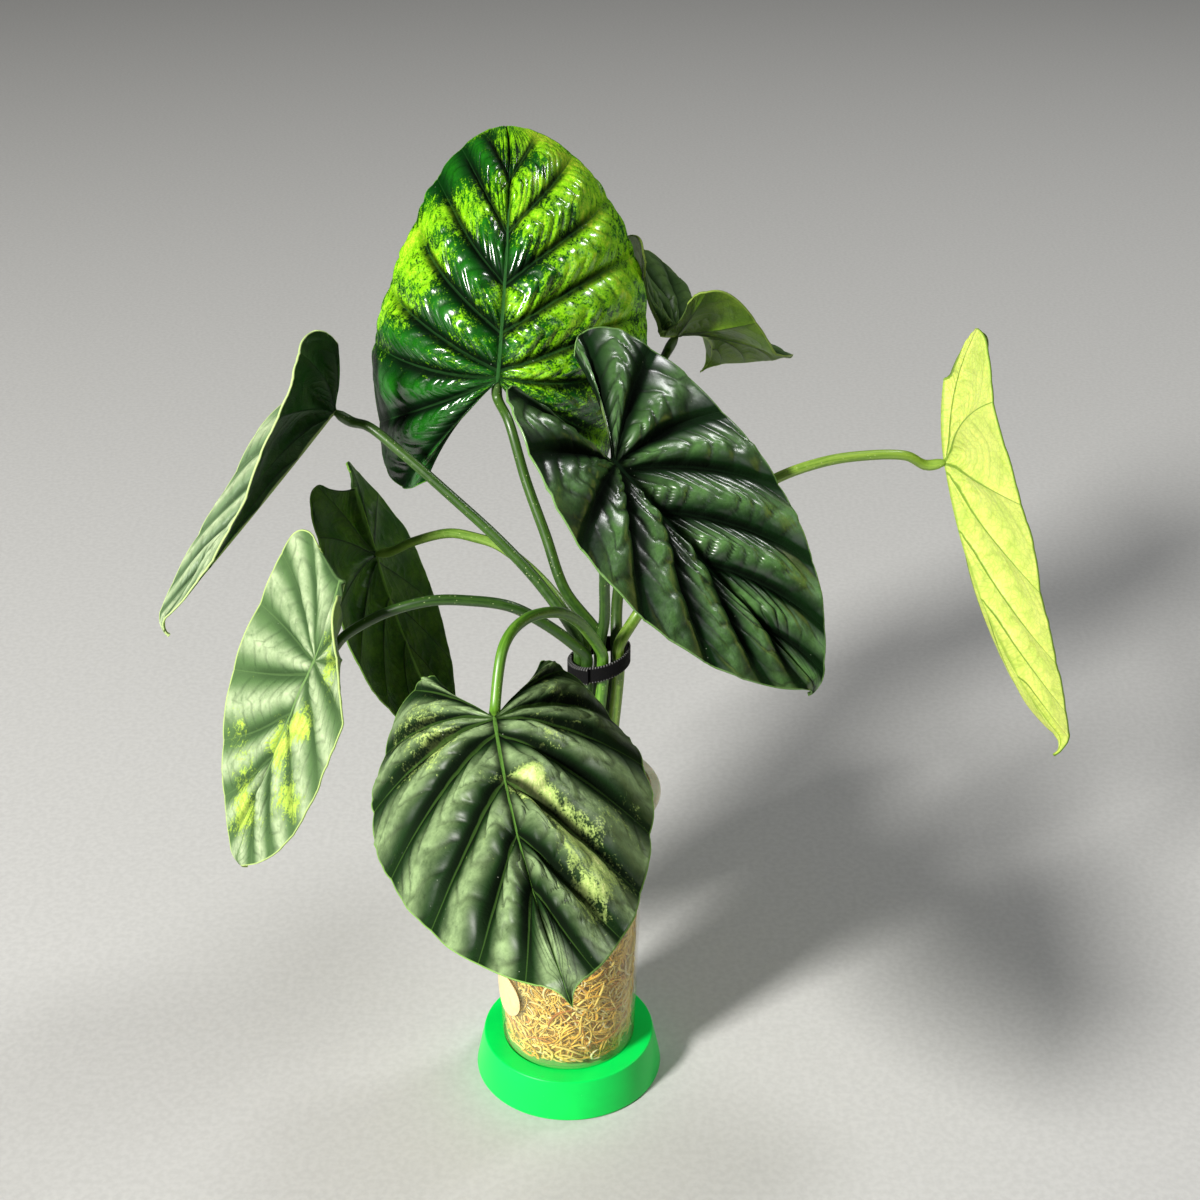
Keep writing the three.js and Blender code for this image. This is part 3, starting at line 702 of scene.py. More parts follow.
def smooth_step(low, high, value):
    t = np.clip((value - low) / (high - low), 0.0, 1.0)
    return t * t * (3 - 2 * t)


def unit(vectors, least=0.0):
    """Vectors of length 1. least keeps a vector of no length from dividing by nothing."""
    return vectors / (np.linalg.norm(vectors, axis=-1, keepdims=True) + least)


def curve_between(p1, p2, v1, v2, w):
    """From p1 to p2, leaving along v1 and arriving along v2, as w goes from 0 to 1."""
    cubic = (2 * p1 - 2 * p2 + v1 + v2) * w**3
    return cubic + (-3 * p1 + 3 * p2 - 2 * v1 - v2) * w**2 + v1 * w + p1


def run_of(line):
    """How far along the line each of its points is."""
    return np.concatenate([[0], np.cumsum(np.linalg.norm(np.diff(line, axis=0), axis=1))])


def edge_run():
    """The outline as a dense line, with each point's part of the run."""
    points = np.array(EDGE)
    last = len(points) - 1
    places = np.linspace(0, last, EDGE_STEPS + 1)
    first = np.minimum(places.astype(int), last)
    p0, p1, p2, p3 = (points[np.clip(first + shift, 0, last)] for shift in (-1, 0, 1, 2))
    curve = curve_between(p1, p2, (p2 - p0) / 2, (p3 - p1) / 2, (places - first)[:, None])
    run = run_of(curve)
    return curve, run / run[-1]


EDGE_LINE, EDGE_RUN = edge_run()


def pillows(leaf):
    return len(VEINS[leaf["veins"]]) - 1


def between_veins(leaf, row, column):
    values = np.array([vein[column] for vein in VEINS[leaf["veins"]]])
    return np.interp(row, np.arange(len(values)), values)


def pillow(row):
    return np.sin(np.pi * (row % 1) ** 1.3).clip(0) ** 0.75


def ridge(size, distance):
    """A rounded ridge of a height and half width, at a distance from its middle."""
    height, width = size
    return height * np.exp(-((distance / width) ** 2))


def soft_noise(x, y, seed):
    """Smooth random values from -1 to 1, with about one swell a unit."""
    i, j = np.floor(x), np.floor(y)
    u, v = smooth_step(0, 1, x - i), smooth_step(0, 1, y - j)

    def corner(a, b):
        value = np.sin(a * SCATTER[0] + b * SCATTER[1] + seed * SCATTER[2]) * SCATTER[3]
        return 2 * (value - np.floor(value)) - 1

    low = corner(i, j) * (1 - u) + corner(i + 1, j) * u
    high = corner(i, j + 1) * (1 - u) + corner(i + 1, j + 1) * u
    return low * (1 - v) + high * v


def flat_place(leaf, row, part):
    """A place on the flat blade: along the midrib and out from it, as parts of the length."""
    notch = -LOBE_LENGTH * leaf["web"] * np.maximum(0, 1 - row)
    start = between_veins(leaf, row, 0) + notch
    end = between_veins(leaf, row, 1)
    end_along = np.interp(end, EDGE_RUN, EDGE_LINE[:, 0])
    end_out = np.interp(end, EDGE_RUN, EDGE_LINE[:, 1]) * leaf["width"]
    end_along = np.where(end_along < 0, end_along * leaf["lobes"], end_along)
    swell = 1 + SCALLOP * pillow(row) * (row < pillows(leaf))
    chord_along = (end_along - start) * swell
    chord_out = end_out * swell
    bow = between_veins(leaf, row, 2) * 4 * part * (1 - part)
    along = start + chord_along * part - chord_out * bow
    out = (chord_out * part + chord_along * bow) * (1 + leaf["tip"] * smooth_step(0.25, 0.95, along))
    return along, np.maximum(0, out)


def spine_angle(leaf, along):
    hooked = np.maximum(0, (along - HOOK_START) / (1 - HOOK_START))
    ahead = -math.radians(leaf["droop"]) * along - math.radians(HOOK) * hooked
    return np.where(along < 0, -math.radians(leaf["lobe_tilt"]) * along, ahead)


def leaf_axes(leaf):
    """Unit vectors along the midrib, to its left and out of the upper face."""
    heading, pitch, roll = (math.radians(leaf[key]) for key in ("heading", "pitch", "roll"))
    forward = Vector((
        math.cos(pitch) * math.cos(heading), math.cos(pitch) * math.sin(heading), math.sin(pitch)
    ))
    level = Vector((-math.sin(heading), math.cos(heading), 0))
    left = level * math.cos(roll) + forward.cross(level) * math.sin(roll)
    return np.array(forward), np.array(left), np.array(forward.cross(left))


def blade_points(leaf, along, out):
    """Points of the blade's middle surface, in millimetres."""
    forward, left, up = leaf_axes(leaf)
    length = leaf["length"]
    steps = (np.arange(SPINE_STEPS) + 0.5) / SPINE_STEPS
    angles = spine_angle(leaf, along[:, None] * steps[None, :])
    spine_forward = np.cos(angles).mean(axis=1) * along * length
    spine_up = np.sin(angles).mean(axis=1) * along * length
    angle = spine_angle(leaf, along)
    reach = np.abs(out) / HALF_WIDTH
    back = np.maximum(0, -along / HALF_WIDTH)
    lobe_fold = leaf["lobe_fold"] + np.sign(out) * leaf["lobe_roll"]
    fold = np.radians(leaf["fold"] + lobe_fold * back + leaf["arch"] * reach / 2)
    twist = np.radians(leaf["twist"]) * along
    flat = out * length * np.cos(fold)
    raised = np.abs(out) * length * np.sin(fold)
    sway = math.radians(leaf["sway"]) * length * np.maximum(0, along) ** 2 / 2
    side = flat * np.cos(twist) - raised * np.sin(twist) + sway
    lift = flat * np.sin(twist) + raised * np.cos(twist)
    return (
        np.array(leaf["joint"], dtype=float)
        + np.outer(spine_forward - lift * np.sin(angle), forward)
        + np.outer(side, left)
        + np.outer(spine_up + lift * np.cos(angle), up)
    )


def blade_normals(leaf, along, out):
    """The way out of the upper face, the mean of both halves on the midrib."""
    step = 0.004
    half = step / 2
    total = np.zeros((len(along), 3))
    for side in (1, -1):
        place = np.where(np.abs(out) < step, side * step, out)
        ahead = blade_points(leaf, along + step, place) - blade_points(leaf, along - step, place)
        across = blade_points(leaf, along, place + half) - blade_points(leaf, along, place - half)
        total += unit(np.cross(ahead, across))
    return unit(total)


def cross_phase(leaf, row, part, side):
    """Counts the cross veins along a pillow. They slant forward to its crest, unevenly."""
    index = np.minimum(np.floor(row), pillows(leaf) - 1)
    seed = leaf["length"] + 3 * side
    shift = soft_noise(index * 5.0, index * 0.0, seed)
    aside = 1 - np.abs(2 * (row % 1) - 1)
    half = np.floor(2 * row)
    wander = 0.45 * soft_noise(part * 4.0, half * 3.0, seed + 1)
    wander = wander + 0.1 * soft_noise(part * 14.0, row * 6.0, seed)
    count = leaf["cells"] * (1 + 0.15 * shift)
    return count * part**0.8 - (1.1 + 0.5 * shift) * aside + shift + wander


def blade_grid(leaf, settings):
    """Row and part of each of the grid's corners, and its quads as corner indexes."""
    steps = np.arange(settings.rows) / settings.rows
    steps = 0.62 * (0.5 - 0.5 * np.cos(np.pi * steps)) + 0.38 * steps
    last = pillows(leaf)
    rows = np.concatenate([index + steps for index in range(last)] + [[last]])
    parts = np.linspace(0, 1, settings.columns + 1) ** 1.12
    row, part = (grid.ravel() for grid in np.meshgrid(rows, parts, indexing="ij"))
    across = len(parts)
    quads = []
    for i in range(len(rows) - 1):
        for j in range(across - 1):
            a = i * across + j
            quads.append((a, a + across, a + across + 1, a + 1))
    return row, part, np.array(quads)


def blade_relief(leaf, settings, row, part, side, sizes, along):
    """Heights of the upper and the lower face above the middle surface, in millimetres."""
    row_mm, reach_mm = sizes
    scale = leaf["length"] / FULL_LENGTH
    seed = leaf["length"] + 3 * side
    aside = np.minimum(row % 1, 1 - row % 1)
    vein_mm = aside * row_mm
    out_mm = part * reach_mm
    edge_mm = (1 - part) * reach_mm
    wide = np.minimum(1, reach_mm / FULL_REACH)
    narrow = np.minimum(1, row_mm / FULL_ROW) * wide
    narrow = narrow * leaf["quilt"] * (1 - 0.9 * smooth_step(0.66, 0.92, along))
    last = 1 - 0.8 * smooth_step(pillows(leaf) - 1.2, pillows(leaf) - 0.4, row)
    rise = np.minimum(1, part / leaf["rise"]) ** 0.8
    fall = 1 - 0.78 * smooth_step(0.62, 1, part)
    swollen = 1 + 0.25 * soft_noise(part * 3.5, np.floor(row) * 3.0, seed)
    bulge = settings.bulge / MM * pillow(row) * rise * fall * narrow * swollen
    groove = settings.groove / MM * (1 - smooth_step(0, 0.2, part)) * wide
    phase = cross_phase(leaf, row, part, side)
    cell = np.floor(phase) + 17 * np.floor(2 * row)
    puffed = 1 + 0.55 * soft_noise(cell * 3.0, cell * 0.0, seed)
    swell = np.abs(np.sin(np.pi * phase)) ** 0.6 * puffed
    near = smooth_step(0, 0.08, part) * (1 - 0.45 * part) * np.sin(np.pi * (row % 1)).clip(0) ** 0.5
    inner = 1 + 0.5 * (1 - smooth_step(0.1, 0.45, part))
    pucker = settings.pucker / MM * leaf["pucker"] * (swell - 0.5) * near * narrow * inner * last
    zigzag = 0.5 + 0.08 * (2 * np.abs(2 * (phase % 1) - 1) - 1)
    crest_mm = np.abs(row % 1 - zigzag) * row_mm
    crease = ridge(CREASE, crest_mm) * smooth_step(0.2, 0.5, part)
    crease = crease * (1 - smooth_step(0.9, 1, part)) * narrow * last
    taper = np.clip(1 - 0.75 * np.maximum(0, row - 3) / (pillows(leaf) - 3), 0.2, 1)
    cord = ridge(UPPER_MIDRIB, out_mm) * taper
    margin = MARGIN * smooth_step(0.9, 0.3, edge_mm)
    top = scale * (bulge - groove + pucker - crease) + cord
    rib = ridge(LOWER_MIDRIB, out_mm) * taper
    vein = ridge(LOWER_VEIN, vein_mm) * (1 - part) ** 0.6 * smooth_step(0, 0.06, part)
    thick = settings.thickness / MM
    return top + thick / 2 + margin, top - cord - thick / 2 - rib - vein


def leaf_field(leaf, along, out):
    """How much the variegation is wanted at each place."""
    total = np.full(len(along), 0.0)
    for at, aside, radius, amount in leaf["patches"]:
        total += amount * np.exp(-((along - at) ** 2 + (out - aside) ** 2) / radius**2)
    return total


def boundary_loops(triangles):
    """Edges used once, in order round each boundary."""
    pairs = np.concatenate([triangles[:, (0, 1)], triangles[:, (1, 2)], triangles[:, (2, 0)]])
    ordered = np.sort(pairs, axis=1)
    _, first, count = np.unique(ordered, axis=0, return_index=True, return_counts=True)
    ahead = {int(a): int(b) for a, b in pairs[first[count == 1]]}
    loops = []
    while ahead:
        start, here = ahead.popitem()
        loop = [start]
        while here != start:
            loop.append(here)
            here = ahead.pop(here)
        loops.append(loop)
    return loops


def blade_piece(leaf, settings):
    """One blade as a closed sheet, with the attributes that its material reads."""
    row, part, quads = blade_grid(leaf, settings)
    half = len(row)
    along, out = flat_place(leaf, row, part)
    before = flat_place(leaf, np.maximum(row - 0.05, 0), part)
    after = flat_place(leaf, np.minimum(row + 0.05, pillows(leaf)), part)
    row_mm = np.hypot(after[0] - before[0], after[1] - before[1]) * leaf["length"] * 10
    ends = flat_place(leaf, row, np.ones(half))
    starts = flat_place(leaf, row, np.zeros(half))
    reach_mm = np.hypot(ends[0] - starts[0], ends[1] - starts[1]) * leaf["length"]

    corners = []
    for side, skew in zip((1, -1), leaf["skew"]):
        wide = out * (1 + skew * smooth_step(0.1, 0.55, along))
        corners.append(np.stack([along, side * wide], 1))
    corners = np.concatenate(corners)
    _, first, weld = np.unique(np.round(corners, 6), axis=0, return_index=True, return_inverse=True)
    all_quads = np.concatenate([quads, quads[:, ::-1] + half])
    triangles = np.concatenate([all_quads[:, (0, 1, 2)], all_quads[:, (0, 2, 3)]])
    triangles = weld.ravel()[triangles]
    triangles = triangles[(triangles != np.roll(triangles, 1, axis=1)).all(axis=1)]

    source = first % half
    side = np.where(first < half, 1, -1)
    flat_along = corners[first, 0]
    flat_out = corners[first, 1]
    relief = blade_relief(
        leaf, settings, row[source], part[source], side,
        (row_mm[source], reach_mm[source]), flat_along,
    )
    middle = blade_points(leaf, flat_along, flat_out)
    normal = blade_normals(leaf, flat_along, flat_out)
    top = middle + normal * relief[0][:, None]
    under = middle + normal * relief[1][:, None]
    count = len(first)
    walls = []
    for loop in boundary_loops(triangles):
        for here, there in zip(loop, loop[1:] + loop[:1]):
            walls.append((here, count + here, count + there, there))
    faces = triangles.tolist() + (triangles[:, ::-1] + count).tolist() + walls
    piece = new_piece(leaf["name"] + "_leaf", np.concatenate([top, under]), faces)

    field = leaf_field(leaf, flat_along, flat_out)
    phase = cross_phase(leaf, row[source], part[source], side)
    length = leaf["length"] * MM
    for name, parts in (
        ("leaf_place", (row[source], part[source], field)),
        ("leaf_size", (row_mm[source], reach_mm[source], np.zeros(count))),
        ("leaf_flat", (flat_along * length, flat_out * length, phase)),
    ):
        point_attribute(piece.data, name, np.tile(np.stack(parts, 1), (2, 1)))
    piece.data.polygons.foreach_set(
        "material_index",
        [0] * len(triangles) + [1] * len(triangles) + [0] * len(walls),
    )
    return piece


# The stalks


def bundle_place(centre, ring, slot):
    if slot is None:
        return centre[0], centre[1]
    angle = math.radians(slot)
    return centre[0] + ring * math.cos(angle), centre[1] + ring * math.sin(angle)


def stalk_knots(leaf):
    """The points that a stalk runs through, in millimetres."""
    moss_x, moss_y = bundle_place(MOSS_CENTRE, MOSS_RING, leaf["slot"])
    strap_x, strap_y = bundle_place(STRAP["centre"], STRAP_RING, leaf["slot"])
    strap_z = STRAP["centre"][2] + (strap_x - STRAP["centre"][0]) * math.tan(
        math.radians(STRAP["tilt"])
    )
    clear = STRAP["width"] / 2 + STALK["foot"]
    forward, _, up = leaf_axes(leaf)
    seat = up * (1 - leaf["lean"]) + forward * leaf["lean"]
    seat = unit(seat)
    sunk = 1.3 * leaf["length"] / FULL_LENGTH + 1.0
    end = np.array(leaf["joint"], dtype=float) - up * sunk
    knots = [
        (moss_x, moss_y, MOSS_TOP - HOLE_DEPTH + SEAT_GAP),
        (moss_x, moss_y, MOSS_TOP - HOLE_DEPTH / 2),
        (moss_x, moss_y, MOSS_TOP + MOSS_CROWN + 2),
        (strap_x, strap_y, strap_z - clear),
        (strap_x, strap_y, strap_z),
        (strap_x, strap_y, strap_z + clear),
        *leaf["route"],
        tuple(end - seat * STALK["reach"]),
        tuple(end),
    ]
    return np.array(knots, dtype=float)


def smooth_run(knots, count):
    """Even points on the centripetal curve through the knots."""
    first = 2 * knots[0] - knots[1]
    last = 2 * knots[-1] - knots[-2]
    padded = np.vstack([first, knots, last])
    line = []
    for i in range(1, len(padded) - 2):
        p0, p1, p2, p3 = padded[i - 1 : i + 3]
        d0, d1, d2 = (np.linalg.norm(b - a) ** 0.5 for a, b in ((p0, p1), (p1, p2), (p2, p3)))
        t1 = (p1 - p0) / d0 - (p2 - p0) / (d0 + d1) + (p2 - p1) / d1
        t2 = (p2 - p1) / d1 - (p3 - p1) / (d1 + d2) + (p3 - p2) / d2
        t1, t2 = t1 * d1, t2 * d1
        w = np.linspace(0, 1, CURVE_STEPS, endpoint=False)[:, None]
        line.append(curve_between(p1, p2, t1, t2, w))
    line = np.vstack(line + [knots[-1:]])
    run = run_of(line)
    places = np.linspace(0, run[-1], count)
    points = np.stack([np.interp(places, run, line[:, axis]) for axis in range(3)], 1)
    return points, run[-1]


def tube_frames(points):
    """Two directions square to the run at each point, turned as little as possible."""
    tangents = unit(np.gradient(points, axis=0))
    sides = [unit(np.cross(tangents[0], (0.0, 1.0, 0.0)))]
    for tangent in tangents[1:]:
        sides.append(unit(sides[-1] - tangent * sides[-1].dot(tangent)))
    sides = np.array(sides)
    return sides, np.cross(tangents, sides)


def tube_faces(rings, sides):
    """Quads of a closed tube, with a centre point at each end after the rings."""
    faces = []
    for i in range(rings - 1):
        for j in range(sides):
            k = (j + 1) % sides
            a = i * sides
            b = a + sides
            faces.append((a + j, a + k, b + k, b + j))
    foot = rings * sides
    last = (rings - 1) * sides
    for j in range(sides):
        k = (j + 1) % sides
        faces.append((foot, k, j))
        faces.append((foot + 1, last + j, last + k))
    return faces


def stalk_piece(leaf):
    """A tapering stalk that swells a little where it meets the blade."""
    rings, sides = STALK["steps"], STALK["sides"]
    points, length = smooth_run(stalk_knots(leaf), rings)
    side, other = tube_frames(points)
    u = np.linspace(0, 1, rings)
    radius = STALK["foot"] + (STALK["neck"] - STALK["foot"]) * u
    to_end = (1 - u) * length
    radius = radius + STALK["swell"] * np.exp(-((to_end - STALK["swell_at"]) ** 2) / 18)
    radius = radius * (0.55 + 0.45 * smooth_step(0, STALK["rounding"], to_end))
    turn = np.linspace(0, 2 * math.pi, sides, endpoint=False)
    spread = (
        np.cos(turn)[None, :, None] * side[:, None, :]
        + np.sin(turn)[None, :, None] * other[:, None, :]
    )
    rings_xyz = points[:, None, :] + spread * radius[:, None, None]
    vertices = np.vstack([rings_xyz.reshape(-1, 3), points[:1], points[-1:]])
    piece = new_piece(leaf["name"] + "_petiole", vertices, tube_faces(rings, sides))
    x, y = (np.append(np.tile(wave(turn), rings), [0, 0]) for wave in (np.cos, np.sin))
    part = np.append(np.repeat(u, sides), [0, 1])
    point_attribute(piece.data, "stalk_run", np.stack([x, y, part * length * MM], 1))
    point_attribute(piece.data, "stalk_part", part)
    return piece


# The moss


def cup_radius(height):
    return CUP["foot"] + (CUP["top"] - CUP["foot"]) * height / CUP["shoulder_height"]


def strand_mesh(name, paths, outward, radii, tones):
    """Many thin strands in one mesh. paths is (strands, points, 3), in millimetres."""
    strands, count, _ = paths.shape
    tangent = unit(np.gradient(paths, axis=1), 1e-9)
    side = unit(np.cross(tangent, outward), 1e-9)
    up = np.cross(side, tangent)
    turn = np.array([0.0, 2 * math.pi / 3, 4 * math.pi / 3])
    spread = (
        np.cos(turn)[None, None, :, None] * up[:, :, None, :] * 0.6
        + np.sin(turn)[None, None, :, None] * side[:, :, None, :]
    )
    rings = paths[:, :, None, :] + spread * radii[:, :, None, None]
    vertices = rings.reshape(-1, 3)
    ring = np.arange(3)
    nxt = (ring + 1) % 3
    faces = []
    for i in range(count - 1):
        a = i * 3
        faces.append(np.stack([a + ring, a + nxt, a + 3 + nxt, a + 3 + ring], 1))
    base = np.concatenate(faces)
    starts = (np.arange(strands) * count * 3)[:, None, None]
    quads = (base[None] + starts).reshape(-1, 4)
    caps_low = (np.array([[2, 1, 0]])[None] + starts).reshape(-1, 3)
    top = (count - 1) * 3
    caps_high = (np.array([[top, top + 1, top + 2]])[None] + starts).reshape(-1, 3)
    piece = new_piece(name, vertices, quads.tolist() + caps_low.tolist() + caps_high.tolist())
    point_attribute(piece.data, "strand_tone", np.repeat(tones, count * 3))
    return piece


def bowed(random, low, high, count, start, span):
    """A random amount for each strand, least at its ends and greatest in its middle."""
    wave = np.sin(np.pi * (start + span * np.linspace(0, 1, STRAND_POINTS)))
    return random.uniform(low, high, count)[:, None] * wave[None, :]


def wall_strands(count, random):
    """Curled strands pressed against the inside of the cup."""
    u = np.linspace(0, 1, STRAND_POINTS)
    length = random.uniform(7, 22, count)
    heading = random.normal(0, 0.9, count) + np.where(random.random(count) < 0.5, 0, math.pi)
    curl = random.normal(0, 2.4, count)
    angle = heading[:, None] + curl[:, None] * u[None, :]
    step = length[:, None] / (STRAND_POINTS - 1)
    low = CUP["wall"] + 3.0
    high = CUP["height"] - MOSS_DROP - 1.5
    start_height = random.uniform(low, high, count)
    height = start_height[:, None] + np.cumsum(np.sin(angle) * step, axis=1)
    height = np.clip(height, low, high)
    depth = 0.1 + random.uniform(0.0, 2.4, count)[:, None] + 0.5 * np.sin(4 * u)[None, :] ** 2
    radius = cup_radius(height) - CUP["wall"] - 0.35 - depth
    around = random.uniform(0, 2 * math.pi, count)[:, None] + np.cumsum(
        np.cos(angle) * step, axis=1
    ) / radius
    outward = np.stack([np.cos(around), np.sin(around), np.zeros_like(around)], 2)
    paths = outward * radius[..., None]
    paths[..., 2] = height + CUP_FLOOR
    return paths, outward, bowed(random, 0.3, 1.0, count, 0.08, 0.84)


def top_strands(count, random):
    """Strands that lie and lean on the moss's upper face."""
    u = np.linspace(0, 1, STRAND_POINTS)
    reach = cup_radius(CUP["height"] - MOSS_DROP) - CUP["wall"] - 4.0
    radius = reach * np.sqrt(random.random(count))
    around = random.uniform(0, 2 * math.pi, count)
    base = np.stack([radius * np.cos(around), radius * np.sin(around)], 1)
    heading = random.uniform(0, 2 * math.pi, count)
    length = random.uniform(4, 11, count)
    curl = random.normal(0, 1.6, count)
    angle = heading[:, None] + curl[:, None] * u[None, :]
    step = length[:, None] / (STRAND_POINTS - 1)
    x = base[:, :1] + np.cumsum(np.cos(angle) * step, axis=1)
    y = base[:, 1:] + np.cumsum(np.sin(angle) * step, axis=1)
    away = np.hypot(x, y)
    held = np.minimum(1, (reach + 2.0) / away)
    x, y = x * held, y * held
    dome = MOSS_CROWN * (1 - (np.hypot(x, y) / (reach + 4)) ** 2)
    z = MOSS_TOP + dome + bowed(random, 0.2, 3.2, count, 0.1, 0.75) - 0.4
    paths = np.stack([x, y, z], 2)
    outward = np.zeros_like(paths)
    outward[..., 2] = 1.0
    return paths, outward, bowed(random, 0.2, 0.5, count, 0.08, 0.84)


# Materials


def leaf_masks(graph, leaf):
    """How far out to the edge a place is, its flat plane, its veins and its variegation."""
    names = ("leaf_place", "leaf_size", "leaf_flat")
    place, size, flat = (graph.attribute(name) for name in names)
    veins = use_group(graph, "Leaf veins", Place=place, Size=size, Flat=flat)
    light = use_group(
        graph, "Variegation", Place=place, Size=size, Flat=flat, Amount=leaf["marbling"]
    )
    along, out, _ = graph.parts(flat)
    return graph.parts(place)[1], graph.vector(along, out, 0.0), veins, light


def leaf_top_material(leaf):
    """The quilted upper face: painted shade in the valleys and creases, silvery bulges with a
    painted sheen on their tops, lime and cream patches.
    """
    look = LOOKS[leaf["look"]]
    material, graph, shader = new_material(
        leaf["name"] + " upper face", Coat_Roughness=look["gloss"], Coat_IOR=1.75,
        Specular_IOR_Level=0.08,
    )
    part, plane, veins, light = leaf_masks(graph, leaf)
    drift = graph.noise(plane, 70.0, 4.0, 0.62)
    shade = graph.noise(plane, 260.0, 4.0, 0.65)
    # Silvery tissue and a painted sheen on the tops of the bulges, broken up by noise.
    silver_and_sheen = graph.times(veins["Crest"], graph.step(0.3, 0.6, drift, 0.45, 1.0))
    # Painted shade in the valleys, fading towards the edge.
    hollow = graph.step(0.0, look["spread"], veins["Hollow"])
    hollow = graph.times(hollow, graph.step(0.5, 0.97, part, 1.0, look["fade"]))
    specks = use_group(graph, "Specks", Vector=plane, Scale=300.0, Size=0.09)
    colour = graph.layered(
        look["body"],
        (look["silver_and_sheen"], silver_and_sheen, graph.step(0.25, 0.7, shade, 0.6, 1.0)),
        (look["lime"], light["Lime"], 1.0),
        (look["cream"], light["Cream"], 1.0),
        # Painted shade where the puff bumps dip, in the valleys and along the sunken cross veins.
        (look["painted_shade"], graph.step(0.42, 0.2, shade), 0.5),
        (look["painted_shade"], hollow, look["hollow"]),
        (look["painted_shade"], veins["Cross"],
         graph.step(0.36, 0.62, drift, 0.35 * look["cross"], look["cross"])),
        (look["rib"], veins["Vein"], look["line"]),
        (look["rib"], veins["Midrib"], 0.85),
        (look["rim"], veins["Rim"], 0.9),
        (rgb(206, 214, 190), specks["Mask"], 0.3),
    )
    coat = graph.step(0.3, 0.6, graph.noise(plane, 120.0, 3.0, 0.6), 0.35, 1.0)
    coat = graph.times(coat, graph.step(0.0, 0.5, veins["Hollow"], 1.0, 0.0))
    coat = graph.times(coat, graph.step(0.4, 0.75, graph.facing(0.5), 1.0, 0.08))
    rough = graph.add(graph.times(shade, 0.2), look["roughness"] - 0.1)
    fine = graph.bump(graph.noise(plane, 1500.0, 3.0, 0.6), 0.15, 0.3 * MM)
    puffs = graph.bump(graph.add(shade, graph.times(veins["Net"], -0.25)), 0.4, 0.6 * MM, fine)
    lines = graph.add(graph.times(veins["Vein"], 0.5), graph.times(veins["Cross"], -0.5))
    graph.wire(
        shader, Base_Color=colour, Coat_Weight=graph.times(coat, look["coat"]),
        Roughness=graph.add(rough, graph.times(hollow, 0.4)),
        Normal=graph.bump(lines, 0.5, 0.5 * MM, puffs),
    )
    return material


def leaf_under_material(leaf):
    """The lower face: paler and flatter in colour, with raised darker veins and a fine net."""
    look = LOOKS[leaf["look"]]
    material, graph, shader = new_material(
        leaf["name"] + " lower face", Specular_IOR_Level=0.2, Subsurface_Weight=0.5,
        Subsurface_Radius=(0.7, 1.0, 0.25), Subsurface_Scale=0.9 * MM,
    )
    _, plane, veins, light = leaf_masks(graph, leaf)
    drift = graph.noise(plane, 55.0, 4.0, 0.6)
    pale = graph.mix(look["under"], look["lime"], look["bloom"])
    colour = graph.layered(
        look["under"],
        (pale, graph.step(0.35, 0.7, drift), 1.0),
        (pale, light["Lime"], 0.6),
        (look["under_vein"], veins["Net"], 0.22),
        (look["under_vein"], veins["Cross"], 0.18),
        (look["under_vein"], veins["Vein"], 0.85),
        (look["rim"], veins["Midrib"], 0.6),
        (look["rim"], veins["Rim"], 0.7),
    )
    fine = graph.bump(graph.noise(plane, 1300.0, 3.0, 0.6), 0.1, 0.4 * MM)
    lines = graph.add(graph.times(veins["Cross"], 0.3), graph.times(veins["Net"], 0.3))
    graph.wire(
        shader, Base_Color=colour, Roughness=graph.add(graph.times(drift, 0.2), 0.38),
        Normal=graph.bump(lines, 0.5, 0.4 * MM, fine),
    )
    return material


# Stalk colours: dark and pale
STALK_LOOKS = {
    "crown": (rgb(30, 62, 12), rgb(62, 98, 26)),
    "front_right": (rgb(30, 62, 12), rgb(60, 96, 24)),
    "front": (rgb(52, 102, 20), rgb(108, 158, 46)),
    "far_left": (rgb(32, 64, 14), rgb(62, 98, 28)),
    "left": (rgb(28, 58, 14), rgb(54, 88, 26)),
    "middle_left": (rgb(70, 108, 28), rgb(122, 154, 62)),
    "back": (rgb(34, 60, 16), rgb(62, 90, 28)),
    "far_right": (rgb(80, 118, 30), rgb(138, 168, 66)),
}


def stalk_material(leaf):
    """Fleshy green with faint lengthwise streaks and pale specks."""
    dark, pale = STALK_LOOKS[leaf["name"]]
    material, graph, shader = new_material(
        leaf["name"] + " stalk skin", Coat_Weight=0.2, Coat_Roughness=0.25,
    )
    x, y, along = graph.parts(graph.attribute("stalk_run"))
    skin = graph.vector(graph.times(x, 3.0 * MM), graph.times(y, 3.0 * MM), along)
    streak = graph.noise(graph.vector(x, y, graph.times(along, 14.0)), 2.6, 4.0, 0.6)
    mottle = graph.noise(skin, 320.0, 3.0)
    specks = use_group(graph, "Specks", Vector=skin, Scale=700.0, Size=0.25)
    colour = graph.layered(
        dark,
        (pale, graph.step(0.3, 0.72, streak), 1.0),
        (pale, graph.step(0.45, 0.7, mottle), 0.5),
        (pale, graph.step(0.72, 1.0, graph.attribute("stalk_part", "Fac")), 0.5),
        (rgb(190, 206, 140), specks["Mask"], 0.7),
    )
    ridges = graph.noise(graph.vector(x, y, graph.times(along, 4.0)), 7.0, 2.0)
    graph.wire(
        shader, Base_Color=colour, Roughness=graph.add(graph.times(mottle, 0.2), 0.28),
        Normal=graph.bump(ridges, 0.15, 0.5 * MM),
    )
    return material


